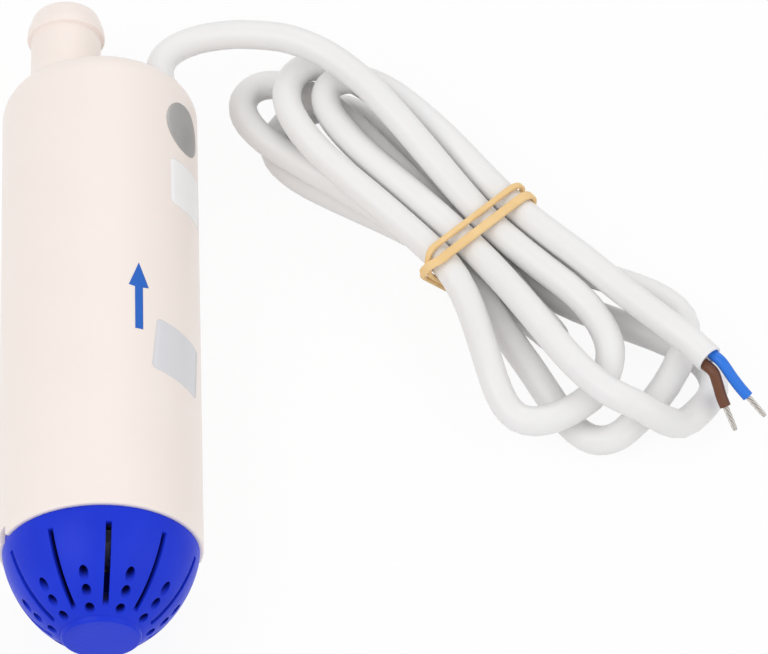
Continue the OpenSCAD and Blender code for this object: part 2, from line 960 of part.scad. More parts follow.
casing();
strainer();
inlet_plate();
impeller();
motor_shaft();
armature_core();
armature_windings();
commutator();
motor_can();
field_magnets();
front_bearing();
rear_bearing();
brush_plate();
brushes();
brush_springs();
terminals();
motor_housing();
housing_cap();
housing_o_ring();
shaft_seal();
cable_gland();
inner_brown_wire();
inner_blue_wire();
cord_tail();
cord_lead();
cord_hank();
rubber_band();
brown_core();
blue_core();
brown_core_tip();
blue_core_tip();
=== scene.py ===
"""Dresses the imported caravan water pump: casing, strainer, cord, inner pieces and the stage."""

import logging
import math
from dataclasses import dataclass, field
from enum import Enum
from typing import Callable, Sequence

import bmesh
import bpy
from mathutils import Matrix, Vector


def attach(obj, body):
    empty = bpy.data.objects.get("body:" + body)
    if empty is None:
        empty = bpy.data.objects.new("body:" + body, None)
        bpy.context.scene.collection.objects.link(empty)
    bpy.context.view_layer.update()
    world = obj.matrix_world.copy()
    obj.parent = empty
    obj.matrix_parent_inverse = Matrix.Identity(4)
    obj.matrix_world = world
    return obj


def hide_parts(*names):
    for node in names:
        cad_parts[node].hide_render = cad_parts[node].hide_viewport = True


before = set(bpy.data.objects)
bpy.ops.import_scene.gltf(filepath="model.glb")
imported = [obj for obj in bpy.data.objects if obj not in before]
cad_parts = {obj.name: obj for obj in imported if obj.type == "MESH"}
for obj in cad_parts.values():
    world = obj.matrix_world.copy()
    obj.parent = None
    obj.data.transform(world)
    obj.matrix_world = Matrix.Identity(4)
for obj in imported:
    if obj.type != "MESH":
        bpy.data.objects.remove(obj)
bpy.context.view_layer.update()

LOG = logging.getLogger("caravan_water_pump")
MM = 0.001
RIM_Y = -52.0
AXIS_Z = 19.0
ALONG = Vector((0, 1, 0))
UP = Vector((0, 0, 1))
TINY = 1e-6
MERGE_DISTANCE = 1e-7
Point2 = tuple[float, float]
Point3 = tuple[float, float, float]
Colour = tuple[float, float, float]
Piece = bpy.types.Object
Socket = bpy.types.NodeSocket
Sockets = dict[str, Socket]
Inputs = dict[str | int, object]
LooseMesh = bmesh.types.BMesh
Ring = list[bmesh.types.BMVert]


class Body(Enum):
    """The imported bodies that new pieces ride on."""

    PUMP = "pump_body"
    STRAINER = "strainer_cap"


class Carve(Enum):
    """Ways in which one solid changes another."""

    ADD = "UNION"
    CUT = "DIFFERENCE"


class Surface(Enum):
    """Kinds of fine relief that a finish carries."""

    MOULDED = "moulded"
    TURNED = "turned"
    WOUND = "wound"
    STACKED = "stacked"


class Sheet:
    """A node tree with short ways to place, set and link its nodes."""

    def __init__(self, tree: bpy.types.NodeTree) -> None:
        """Keep the tree that the nodes go into."""
        self.tree = tree

    def node(self, kind: str, inputs: Inputs | None = None, **options: object) -> bpy.types.Node:
        """Place a node.

        Args:
            kind: type of the node, without the word that every type starts with.
            inputs: number, colour or socket for each input that isn't left as it comes.
            options: the node's own options.

        Returns:
            The node, with its inputs set or linked.
        """
        made = self.tree.nodes.new(f"ShaderNode{kind}")
        for name, choice in options.items():
            setattr(made, name, choice)
        self.feed(made, inputs or {})
        return made

    def feed(self, node: bpy.types.Node, inputs: Inputs) -> None:
        """Set or link inputs of a node.

        Args:
            node: the node.
            inputs: number, colour or socket for each input, by its name or place.
        """
        for name, given in inputs.items():
            if isinstance(given, Socket):
                self.tree.links.new(given, node.inputs[name])
            else:
                node.inputs[name].default_value = given

    def value(self, operation: str, *terms: float | Socket, clamp: bool = False) -> Socket:
        """Return the result of one arithmetic step on numbers and sockets."""
        inputs = dict(enumerate(terms))
        return self.node("Math", inputs, operation=operation, use_clamp=clamp).outputs["Value"]

    def place(self) -> Socket:
        """Return the place on the piece, in the part's frame."""
        return self.node("TexCoord").outputs["Object"]


class EffectGroups:
    """Shader node groups that the finishes share."""

    @staticmethod
    def _once(name: str, inputs: dict[str, object], output: str,
              fill: Callable[[Sheet, Sockets], Socket]) -> bpy.types.NodeTree:
        """Build a group the first time that it is asked for.

        Args:
            name: name of the group.
            inputs: default of each input, four numbers for a colour.
            output: name of its one output.
            fill: places the group's nodes and returns what it puts out.

        Returns:
            The group.
        """
        known = bpy.data.node_groups.get(name)
        if known:
            return known
        group = bpy.data.node_groups.new(name, "ShaderNodeTree")
        kinds = {True: "NodeSocketColor", False: "NodeSocketFloat"}
        for label, default in inputs.items():
            kind = kinds[isinstance(default, tuple)]
            socket = group.interface.new_socket(label, in_out="INPUT", socket_type=kind)
            socket.default_value = default
        group.interface.new_socket(output, in_out="OUTPUT", socket_type=kinds[output == "Colour"])
        start = group.nodes.new("NodeGroupInput")
        end = group.nodes.new("NodeGroupOutput")
        result = fill(Sheet(group), {socket.name: socket for socket in start.outputs})
        group.links.new(result, end.inputs[output])
        return group

    @classmethod
    def tone_drift(cls) -> bpy.types.NodeTree:
        """Build the group that lets a colour wander slightly over the surface.

        Returns:
            The group.
        """
        def fill(sheet: Sheet, given: Sockets) -> Socket:
            """Place the nodes and return the colour."""
            cloud = sheet.node("TexNoise", {
                "Vector": sheet.place(), "Scale": given["Scale"], "Detail": 4.0,
            })
            curve = sheet.node("MapRange", {
                "Value": cloud.outputs["Fac"], "From Min": 0.35, "From Max": 0.75,
            })
            share = sheet.value("MULTIPLY", curve.outputs["Result"], given["Amount"])
            ends = {"Factor": share, "A": given["Colour"], "B": given["Shade"]}
            return sheet.node("Mix", ends, data_type="RGBA").outputs["Result"]

        grey = (0.8, 0.8, 0.8, 1.0)
        inputs = {"Colour": grey, "Shade": grey, "Scale": 60.0, "Amount": 0.3}
        return cls._once("tone_drift", inputs, "Colour", fill)

    @classmethod
    def handling_marks(cls) -> bpy.types.NodeTree:
        """Build the group that varies roughness as handling does.

        Returns:
            The group.
        """
        def fill(sheet: Sheet, given: Sockets) -> Socket:
            """Place the nodes and return the roughness."""
            smear = sheet.node("TexNoise", {
                "Vector": sheet.place(), "Scale": given["Scale"], "Detail": 6.0, "Roughness": 0.65,
            })
            centred = sheet.value("SUBTRACT", smear.outputs["Fac"], 0.5)
            change = sheet.value("MULTIPLY", centred, given["Spread"])
            return sheet.value("ADD", change, given["Roughness"], clamp=True)

        inputs = {"Roughness": 0.4, "Spread": 0.1, "Scale": 150.0}
        return cls._once("handling_marks", inputs, "Roughness", fill)

    @classmethod
    def moulded_grain(cls) -> bpy.types.NodeTree:
        """Build the group that gives the height of a moulded or rubbery skin.

        Returns:
            The group.
        """
        def fill(sheet: Sheet, given: Sockets) -> Socket:
            """Place the nodes and return the height."""
            place = sheet.place()
            fine = sheet.node("TexNoise", {"Vector": place, "Scale": given["Scale"], "Detail": 3.0})
            broad = sheet.node("TexNoise", {"Vector": place, "Scale": 70.0})
            return sheet.value("ADD", fine.outputs["Fac"], broad.outputs["Fac"])

        return cls._once("moulded_grain", {"Scale": 900.0}, "Height", fill)

    @classmethod
    def fine_lines(cls) -> bpy.types.NodeTree:
        """Build the group that gives the height of turned, wound or stacked lines along Y.

        Returns:
            The group.
        """
        def fill(sheet: Sheet, given: Sockets) -> Socket:
            """Place the nodes and return the height."""
            inputs = {"Vector": sheet.place(), "Scale": given["Scale"], "Distortion": given["Waver"],
                      "Detail": 2.0}
            return sheet.node("TexWave", inputs, wave_type="BANDS", bands_direction="Y").outputs["Fac"]

        return cls._once("fine_lines", {"Scale": 400.0, "Waver": 0.4}, "Height", fill)


@dataclass(frozen=True)
class Finish:
    """A material of the pump, with its colour wander, handling marks and relief."""

    name: str
    slot: str
    colour: Colour
    shade: Colour
    roughness: float
    surface: Surface = Surface.MOULDED
    metallic: float = 0.0
    coat: float = 0.0
    subsurface: float = 0.0
    drift: float = 0.35
    drift_scale: float = 60.0
    marks: float = 0.12
    marks_scale: float = 150.0
    grain: float = 900.0
    relief: float = 0.08
    specular: float = 0.5

    def material(self) -> bpy.types.Material:
        """Build the material.

        Returns:
            The material, the one of this name if it is built already.
        """
        known = bpy.data.materials.get(self.name)
        if known:
            return known
        material = bpy.data.materials.new(self.name)
        material.use_nodes = True
        sheet = Sheet(material.node_tree)
        tone = sheet.node("Group", node_tree=EffectGroups.tone_drift(), inputs={
            "Colour": (*self.colour, 1.0), "Shade": (*self.shade, 1.0),
            "Scale": self.drift_scale, "Amount": self.drift,
        })
        marks = sheet.node("Group", node_tree=EffectGroups.handling_marks(), inputs={
            "Roughness": self.roughness, "Spread": self.marks, "Scale": self.marks_scale,
        })
        bump = sheet.node("Bump", {
            "Strength": self.relief, "Distance": 0.2 * MM, "Height": self._relief(sheet),
        })
        sheet.feed(sheet.tree.nodes["Principled BSDF"], {
            "Base Color": tone.outputs["Colour"],
            "Roughness": marks.outputs["Roughness"],
            "Normal": bump.outputs["Normal"],
            "Metallic": self.metallic,
            "Specular IOR Level": self.specular,
            "Coat Weight": self.coat,
            "Coat Roughness": 0.12,
            "Subsurface Weight": self.subsurface,
            "Subsurface Radius": (0.6, 0.5, 0.4),
            "Subsurface Scale": 2 * MM,
        })
        return material

    def _relief(self, sheet: Sheet) -> Socket:
        """Place the relief group for this surface.

        Args:
            sheet: the material's nodes.

        Returns:
            The height that the group gives.
        """
        group, inputs = EffectGroups.moulded_grain(), {"Scale": self.grain}
        if self.surface is not Surface.MOULDED:
            group = EffectGroups.fine_lines()
            inputs["Waver"] = 1.5 if self.surface is Surface.WOUND else 0.2
        return sheet.node("Group", inputs, node_tree=group).outputs["Height"]


CREAM_PLASTIC = Finish("cream_plastic", "casing_plastic", (0.925, 0.835, 0.785), (0.890, 0.785, 0.725),
                       0.36, subsurface=0.08, drift=0.3, grain=700.0, relief=0.04, specular=0.35)
BLUE_PLASTIC = Finish("blue_plastic", "strainer_plastic", (0.012, 0.040, 0.670), (0.010, 0.028, 0.540),
                      0.40, drift=0.45, drift_scale=120.0, marks=0.2, grain=1400.0, relief=0.20,
                      specular=0.12)
INNER_PLASTIC = Finish("inner_moulding", "inner_plastic", (0.70, 0.70, 0.66), (0.60, 0.60, 0.56), 0.45)
BRIGHT_STEEL = Finish("bright_steel", "steel", (0.62, 0.62, 0.64), (0.48, 0.48, 0.50), 0.28,
                      Surface.TURNED, metallic=1.0)
LAMINATIONS = Finish("stacked_sheet", "laminations", (0.16, 0.16, 0.17), (0.10, 0.09, 0.08), 0.5,
                     Surface.STACKED, metallic=0.8, grain=320.0, relief=0.5)
COPPER = Finish("varnished_copper", "copper", (0.60, 0.22, 0.08), (0.40, 0.12, 0.04), 0.3,
                Surface.WOUND, metallic=0.9, coat=0.5, grain=700.0, relief=0.6)
FERRITE = Finish("ferrite", "magnet", (0.035, 0.035, 0.038), (0.02, 0.02, 0.02), 0.6, relief=0.2)
BRONZE = Finish("sintered_bronze", "bronze", (0.42, 0.25, 0.08), (0.30, 0.17, 0.05), 0.45, metallic=0.9)
BROWN_BOARD = Finish("pressed_board", "brown_board", (0.12, 0.045, 0.018), (0.08, 0.03, 0.012), 0.5)
CARBON = Finish("pressed_carbon", "carbon", (0.015, 0.015, 0.016), (0.03, 0.03, 0.03), 0.55, relief=0.3)
BRASS = Finish("rolled_brass", "brass", (0.66, 0.44, 0.12), (0.52, 0.33, 0.09), 0.3, Surface.TURNED,
               metallic=1.0)
BLACK_RUBBER = Finish("soft_black_rubber", "black_rubber", (0.012, 0.012, 0.012), (0.02, 0.02, 0.02), 0.6)
PALE_RUBBER = Finish("pale_rubber", "gland_rubber", (0.66, 0.64, 0.60), (0.56, 0.54, 0.50), 0.55,
                     relief=0.15)
WHITE_SHEATH = Finish("white_sheath", "cord_sheath", (0.865, 0.858, 0.855), (0.805, 0.790, 0.775), 0.38,
                      drift=0.5, drift_scale=45.0, subsurface=0.06, grain=500.0, relief=0.05,
                      specular=0.35)
TAN_RUBBER = Finish("tan_rubber", "band_rubber", (0.905, 0.640, 0.320), (0.810, 0.530, 0.230), 0.55,
                    subsurface=0.1, drift=0.6, drift_scale=300.0, relief=0.25, specular=0.2)
BROWN_CORE = Finish("brown_sleeve", "brown_insulation", (0.165, 0.066, 0.036), (0.125, 0.048, 0.026), 0.34,
                    relief=0.05, specular=0.25)
BLUE_CORE = Finish("blue_sleeve", "blue_insulation", (0.030, 0.200, 0.780), (0.022, 0.15, 0.64), 0.32,
                   relief=0.05, specular=0.25)
TINNED = Finish("tinned_strand", "tinned_copper", (0.52, 0.49, 0.46), (0.40, 0.38, 0.35), 0.30,
                metallic=1.0, relief=0.1)
BLUE_INK = Finish("blue_ink", "casing_plastic", (0.022, 0.130, 0.540), (0.030, 0.155, 0.600), 0.42,
                  drift=0.3, drift_scale=400.0, relief=0.03, specular=0.2)
SILVER_FOIL = Finish("silver_foil", "casing_plastic", (0.42, 0.41, 0.40), (0.34, 0.33, 0.33), 0.42,
                     metallic=0.4, drift=0.6, drift_scale=200.0, relief=0.05)
WHITE_LABEL = Finish("white_label", "casing_plastic", (0.92, 0.91, 0.91), (0.87, 0.86, 0.86), 0.36,
                     relief=0.03, specular=0.35)
GREY_LABEL = Finish("grey_label", "casing_plastic", (0.72, 0.72, 0.75), (0.66, 0.66, 0.69), 0.36,
                    relief=0.03, specular=0.35)


@dataclass(frozen=True)
class Corner:
    """A corner of a turned outline: radius from the axis, place along it and rounding."""

    r: float
    a: float
    rounding: float = 0.0


def rounded(corners: Sequence[Corner], steps: int = 8, stretch: float = 5.0) -> list[Point2]:
    """Round the corners of an open outline and split its long straights.

    Args:
        corners: the outline's corners in order.
        steps: number of steps in each rounding.
        stretch: longest straight step, in millimetres.

    Returns:
        Points of the outline as radius and place along the axis.
    """
    raw: list[Vector] = []
    for i, corner in enumerate(corners):
        here = Vector((corner.r, corner.a))
        if corner.rounding <= 0 or i in (0, len(corners) - 1):
            raw.append(here)
            continue
        before = (Vector((corners[i - 1].r, corners[i - 1].a)) - here).normalized()
        after = (Vector((corners[i + 1].r, corners[i + 1].a)) - here).normalized()
        half = before.angle(after) / 2
        reach = corner.rounding / math.tan(half)
        centre = here + (before + after).normalized() * (corner.rounding / math.sin(half))
        first = here + before * reach - centre
        last = here + after * reach - centre
        turn = first.angle_signed(last)
        for k in range(steps + 1):
            raw.append(centre + Matrix.Rotation(-turn * k / steps, 2) @ first)
    points = [raw[0]]
    for here in raw[1:]:
        start = points[-1]
        count = max(1, math.ceil((here - start).length / stretch))
        points += [start.lerp(here, k / count) for k in range(1, count + 1)]
    return [(p.x, p.y) for p in points]


def plug(radius: float, low: float, high: float) -> list[Point2]:
    """Return the outline of a plain plug between two places along its axis."""
    return [(0, low), (radius, low), (radius, high), (0, high)]


def new_object(name: str, data: bpy.types.ID) -> Piece:
    """Put something into the scene.

    Args:
        name: name of the new object.
        data: its mesh, curve, camera or lamp.

    Returns:
        The object.
    """
    made = bpy.data.objects.new(name, data)
    bpy.context.scene.collection.objects.link(made)
    return made


def solid(name: str, mesh: LooseMesh) -> Piece:
    """Turn a loose mesh into an object.

    Args:
        name: name of the new object.
        mesh: the mesh, which is used up.

    Returns:
        The object, with its faces turned outward.
    """
    bmesh.ops.recalc_face_normals(mesh, faces=mesh.faces[:])
    data = bpy.data.meshes.new(name)
    mesh.to_mesh(data)
    mesh.free()
    return new_object(name, data)


def sides_of(way: Vector) -> tuple[Vector, Vector]:
    """Return two directions that are square to a direction and to each other."""
    side = way.cross(UP).normalized()
    return side, side.cross(way)


def circle(mesh: LooseMesh, centre: Vector, radius: float, sides: tuple[Vector, Vector],
           steps: int) -> Ring:
    """Add a circle of points to a mesh.

    Args:
        mesh: the mesh.
        centre: the circle's middle, in millimetres.
        radius: its radius.
        sides: two directions in its plane.
        steps: number of points.

    Returns:
        The points, or one point where the circle has no radius.
    """
    turns = (2 * math.pi * k / steps for k in range(steps if radius > TINY else 1))
    return [
        mesh.verts.new((centre + radius * (math.cos(t) * sides[0] + math.sin(t) * sides[1])) * MM)
        for t in turns
    ]


def bridge(mesh: LooseMesh, rings: Sequence[Ring], closed: bool = True) -> None:
    """Lay faces between rings of points.

    Args:
        mesh: the mesh.
        rings: the rings in order, one point where the surface runs to a pole.
        closed: whether each ring goes all the way round.
    """
    for low, high in zip(rings, rings[1:]):
        count = max(len(low), len(high))
        for k in range(count if closed else count - 1):
            n = (k + 1) % count
            corners = (low[k % len(low)], low[n % len(low)], high[n % len(high)], high[k % len(high)])
            mesh.faces.new(tuple(dict.fromkeys(corners)))


def revolve(name: str, outline: Sequence[Point2], x: float = 0.0, steps: int = 72) -> Piece:
    """Turn an outline about a line parallel to the pump's axis.

    Args:
        name: name of the new object.
        outline: radius and place along the axis from the casing's rim, in millimetres.
        x: distance of the line from the pump's axis.
        steps: number of steps round.

    Returns:
        The turned object, in metres in the part's frame.
    """
    return revolve_on(name, outline, Vector((x, RIM_Y, AXIS_Z)), ALONG, steps)


def revolve_on(name: str, outline: Sequence[Point2], origin: Vector, way: Vector, steps: int) -> Piece:
    """Turn an outline about any line.

    Args:
        name: name of the new object.
        outline: radius from the line and place along it, in millimetres.
        origin: point of the line where the outline's places start.
        way: direction of the line, of length 1.
        steps: number of steps round.

    Returns:
        The turned object, in metres in the part's frame.
    """
    mesh = bmesh.new()
    sides = sides_of(way)
    bridge(mesh, [circle(mesh, origin + way * a, r, sides, steps) for r, a in outline])
    return solid(name, mesh)


def axis_block(name: str, low: Point3, high: Point3, turn: float) -> Piece:
    """Make a block in the pump's axis frame, turned about the axis.

    Args:
        name: name of the new object.
        low: lowest radial, sideways and axial place, in millimetres.
        high: highest radial, sideways and axial place.
        turn: degrees from the top of the lying pump towards +X.

    Returns:
        The block as an object.
    """
    out = Vector((math.sin(math.radians(turn)), 0, math.cos(math.radians(turn))))
    side = Vector((out.z, 0, -out.x))
    mesh = bmesh.new()
    verts = [
        mesh.verts.new((Vector((0, RIM_Y + a, AXIS_Z)) + r * out + s * side) * MM)
        for r in (low[0], high[0]) for s in (low[1], high[1]) for a in (low[2], high[2])
    ]
    for face in ((0, 1, 3, 2), (4, 6, 7, 5), (0, 4, 5, 1), (2, 3, 7, 6), (0, 2, 6, 4), (1, 5, 7, 3)):
        mesh.faces.new([verts[i] for i in face])
    return solid(name, mesh)


def settle(target: Piece) -> None:
    """Turn an object's modifiers into its own mesh.

    Args:
        target: object that changes.
    """
    view = bpy.context.evaluated_depsgraph_get()
    data = bpy.data.meshes.new_from_object(target.evaluated_get(view))
    target.modifiers.clear()
    target.data = data


def weld(target: Piece) -> None:
    """Join the first and last ring of an object that was turned from a closed outline.

    Args:
        target: object that changes.
    """
    mesh = bmesh.new()
    mesh.from_mesh(target.data)
    bmesh.ops.remove_doubles(mesh, verts=mesh.verts[:], dist=MERGE_DISTANCE)
    bmesh.ops.recalc_face_normals(mesh, faces=mesh.faces[:])
    mesh.to_mesh(target.data)
    mesh.free()


def smooth(target: Piece, limit: float = 50.0) -> None:
    """Shade an object smooth, apart from edges that turn by more than a limit in degrees."""
    target.data.shade_smooth()
    target.data.set_sharp_from_angle(angle=math.radians(limit))


def carve(target: Piece, tools: Sequence[Piece], way: Carve) -> None:
    """Add solids to a target, or cut them out of it, and drop the solids.

    Args:
        target: object that changes.
        tools: solids that don't overlap each other.
        way: whether they are added or cut.
    """
    joined = bmesh.new()
    for tool in tools:
        joined.from_mesh(tool.data)
        bpy.data.objects.remove(tool)
    cutter = solid("carving_tool", joined)
    step = target.modifiers.new("carve", "BOOLEAN")
    step.operation = way.value
    step.solver = "EXACT"
    step.object = cutter
    settle(target)
    bpy.data.objects.remove(cutter)


def soften(target: Piece, width: float, limit: float = 38.0) -> None:
    """Break the sharp edges of an object and smooth the rest.

    Args:
        target: object to soften.
        width: width of the broken edge, in millimetres.
        limit: angle in degrees from which an edge counts as sharp.
    """
    step = target.modifiers.new("edges", "BEVEL")
    step.width = width * MM
    step.segments = 2
    step.limit_method = "ANGLE"
    step.angle_limit = math.radians(limit)
    step.use_clamp_overlap = True
    settle(target)
    smooth(target)


def hand_over(piece: Piece, finish: Finish, body: Body, words: str, *nodes: str) -> Piece:
    """Dress a piece, seat it on its body and report it.

    Args:
        piece: the finished shape.
        finish: its material.
        body: the body that it moves with.
        words: what it is, for the log.
        nodes: CAD nodes that it stands for.

    Returns:
        The piece.
    """
    piece.data.materials.clear()
    piece.data.materials.append(finish.material())
    if nodes:
        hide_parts(*nodes)
    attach(piece, body.value)
    LOG.info("%s: %s", piece.name, words)
    return piece


@dataclass
class Casing:
    """Cream barrel with its shoulder, hose spigot, cord hole, arrow and blank stickers."""

    radius: float = 19.0
    length: float = 102.0
    inner: float = 17.0
    roof: float = 99.0
    roof_fillet: float = 4.0
    shoulder: float = 6.0
    mouth: float = 17.4
    mouth_depth: float = 8.0
    mouth_edge: float = 0.25
    rim_edge: float = 0.45
    crease: float = 0.1
    broken_edge: float = 0.15
    sunk: float = 0.6
    neck: float = 6.9
    neck_root: float = 0.7
    root_fillet: float = 1.2
    root_sunk: float = 0.1
    lip: float = 7.65
    lip_low: float = 115.7
    lip_foot: float = 0.3
    lip_crease: float = 0.06
    lip_edge: float = 0.5
    lip_rounding: float = 0.18
    lip_top: float = 2.0
    lip_curve: float = 5.0
    tip: float = 122.0
    tip_draw_in: float = 0.6
    tip_curve: float = 2.0
    outlet: float = 4.75
    flare: float = 0.6
    flare_depth: float = 0.4
    flare_past: float = 0.3
    spigot_x: float = -6.7
    cord_x: float = 11.8
    gland_hole: float = 4.45
    gland_boss: float = 5.8
    boss_height: float = 6.0
    key_turn: float = -70.0
    key_half: float = 1.7
    key_depth: float = 2.0
    overshoot: float = 1.0
    print_gap: float = 0.03
    print_columns: int = 10

    def build(self) -> None:
        """Build and dress the casing and what is printed and stuck on it."""
        shell = self._barrel()
        carve(shell, [self._spigot()], Carve.ADD)
        carve(shell, [self._boss()], Carve.ADD)
        carve(shell, self._cutters(), Carve.CUT)
        soften(shell, self.broken_edge)
        hand_over(shell, CREAM_PLASTIC, Body.PUMP, "barrel, shoulder and spigot in one moulding", "casing")
        hand_over(self._arrow(), BLUE_INK, Body.PUMP, "printed flow arrow")
        hand_over(self._round_sticker(), SILVER_FOIL, Body.PUMP, "blank round sticker")
        upper = self._label("blank_label_upper", 66.0, 74.25, (11.9, 10.5))
        hand_over(upper, WHITE_LABEL, Body.PUMP, "blank label")
        lower = self._label("blank_label_lower", 54.0, 35.2, (12.9, 11.3), 6.5)
        hand_over(lower, GREY_LABEL, Body.PUMP, "blank label")

    def _barrel(self) -> Piece:
        """Turn the hollow barrel.

        Returns:
            The barrel, open at the mouth.
        """
        return revolve("casing_shell", rounded([
            Corner(0, self.roof),
            Corner(self.inner, self.roof, self.roof_fillet),
            Corner(self.inner, self.mouth_depth, self.crease),
            Corner(self.mouth, self.mouth_depth, self.crease),
            Corner(self.mouth, 0, self.mouth_edge),
            Corner(self.radius, 0, self.rim_edge),
            Corner(self.radius, self.length, self.shoulder),
            Corner(0, self.length),
        ], steps=14), steps=180)

    def _spigot(self) -> Piece:
        """Turn the spigot as a full solid.

        Returns:
            The spigot with its lip and a small fillet at the shoulder.
        """
        return revolve("spigot_solid", rounded([
            Corner(0, self.roof + self.sunk),
            Corner(self.neck + self.neck_root, self.roof + self.sunk),
            Corner(self.neck + self.neck_root, self.length - self.root_sunk),
            Corner(self.neck, self.length + self.neck_root, self.root_fillet),
            Corner(self.neck, self.lip_low + self.lip_foot, self.lip_crease),
            Corner(self.lip, self.lip_low + self.lip_edge, self.lip_rounding),
            Corner(self.lip, self.lip_low + self.lip_top, self.lip_curve),
            Corner(self.neck - self.tip_draw_in, self.tip, self.tip_curve),
            Corner(self.outlet - self.overshoot, self.tip),
            Corner(0, self.tip),
        ], stretch=2.5), self.spigot_x, steps=128)

    def _boss(self) -> Piece:
        """Return the inner boss that carries the cable gland."""
        outline = plug(self.gland_boss, self.roof - self.boss_height, self.roof + self.sunk)
        return revolve("gland_boss_solid", outline, self.cord_x)

    def _cutters(self) -> list[Piece]:
        """Make the tools that open the casing.

        Returns:
            The outlet bore, the cord hole and the two key notches.
        """
        start, end = self.roof - self.overshoot, self.tip + self.flare_past
        bore = revolve("outlet_cutter", rounded([
            Corner(0, start),
            Corner(self.outlet, start),
            Corner(self.outlet, self.tip - self.flare_depth, self.flare),
            Corner(self.outlet + self.flare, end),
            Corner(0, end),
        ]), self.spigot_x, steps=96)
        outline = plug(self.gland_hole, start - self.boss_height, self.length + self.overshoot)
        hole = revolve("cord_hole_cutter", outline, self.cord_x)
        low = (self.mouth - self.overshoot, -self.key_half, -self.overshoot)
        high = (self.radius + self.overshoot, self.key_half, self.key_depth)
        notches = [axis_block("notch_cutter", low, high, self.key_turn + turn) for turn in (0, 180)]
        return [bore, hole, *notches]

    def _patch(self, name: str, edges: Callable[[float], Point2], low: float, high: float,
               rows: int) -> Piece:
        """Lay a thin patch on the barrel.

        Args:
            name: name of the new object.
            edges: gives the patch's two sides, in degrees from the top, at a place along the axis.
            low: lowest place along the axis.
            high: highest place along the axis.
            rows: number of rows along the axis.

        Returns:
            The patch, a little proud of the barrel.
        """
        mesh = bmesh.new()
        grid = []
        r = self.radius + self.print_gap
        for i in range(rows + 1):
            a = low + (high - low) * i / rows
            left, right = edges(a)
            turns = [math.radians(left + (right - left) * k / self.print_columns)
                     for k in range(self.print_columns + 1)]
            grid.append([
                mesh.verts.new(Vector((r * math.sin(t), RIM_Y + a, AXIS_Z + r * math.cos(t))) * MM)
                for t in turns
            ])
        bridge(mesh, grid, closed=False)
        bmesh.ops.remove_doubles(mesh, verts=mesh.verts[:], dist=MERGE_DISTANCE)
        made = solid(name, mesh)
        depth = made.modifiers.new("depth", "SOLIDIFY")
        depth.thickness = self.print_gap * MM
        depth.offset = 0.0
        settle(made)
        made.data.shade_smooth()
        return made

    def _arrow(self) -> Piece:
        """Print the arrow that shows which way the water flows.

        Returns:
            The arrow.
        """
        middle, shaft, head = 25.1, 2.4, 6.1
        foot, neck, tip = 38.0, 47.4, 52.6

        def edges(a: float) -> Point2:
            """Return both sides of the arrow at a place along the axis."""
            half = shaft if a < neck else head * max(0.0, (tip - a) / (tip - neck))
            return middle - half, middle + half

        return self._patch("flow_arrow", edges, foot, tip, 73)

    def _round_sticker(self) -> Piece:
        """Stick the blank round sticker on near the shoulder.

        Returns:
            The sticker.
        """
        middle, along, size = 62.0, 88.1, 5.6

        def edges(a: float) -> Point2:
            """Return both sides of the sticker at a place along the axis."""
            half = math.degrees(math.sqrt(max(0.0, size ** 2 - (a - along) ** 2)) / self.radius)
            return middle - half, middle + half

        return self._patch("round_sticker", edges, along - size, along + size, 48)

    def _label(self, name: str, middle: float, along: float, size: Point2, turn: float = 0.0) -> Piece:
        """Lay a blank label with rounded corners on the barrel.

        Args:
            name: name of the new object.
            middle: its middle in degrees from the top.
            along: its middle along the axis.
            size: its width round the barrel and its height along it.
            turn: how far it is stuck on askew, in degrees.

        Returns:
            The label.
        """
        corner, samples, nearly_all = 1.0, 12, 0.9999
        wide, high = size[0] / 2 - corner, size[1] / 2 - corner
        sine, cosine = max(math.sin(math.radians(turn)), TINY), math.cos(math.radians(turn))
        reach = (wide * sine + high * cosine) * nearly_all

        def edges(a: float) -> Point2:
            """Return both sides of the label at a place along the axis."""
            lefts, rights = [], []
            for k in range(-samples, samples + 1):
                row = max(-reach, min(reach, a - along + corner * k / samples))
                out = math.sqrt(max(0.0, corner ** 2 - (a - along - row) ** 2))
                lefts.append(max((row * sine - wide) / cosine, (-high - row * cosine) / sine) - out)
                rights.append(min((row * sine + wide) / cosine, (high - row * cosine) / sine) + out)
            left, right = min(lefts) / self.radius, max(rights) / self.radius
            return middle + math.degrees(left), middle + math.degrees(right)

        return self._patch(name, edges, along - reach - corner, along + reach + corner, 60)


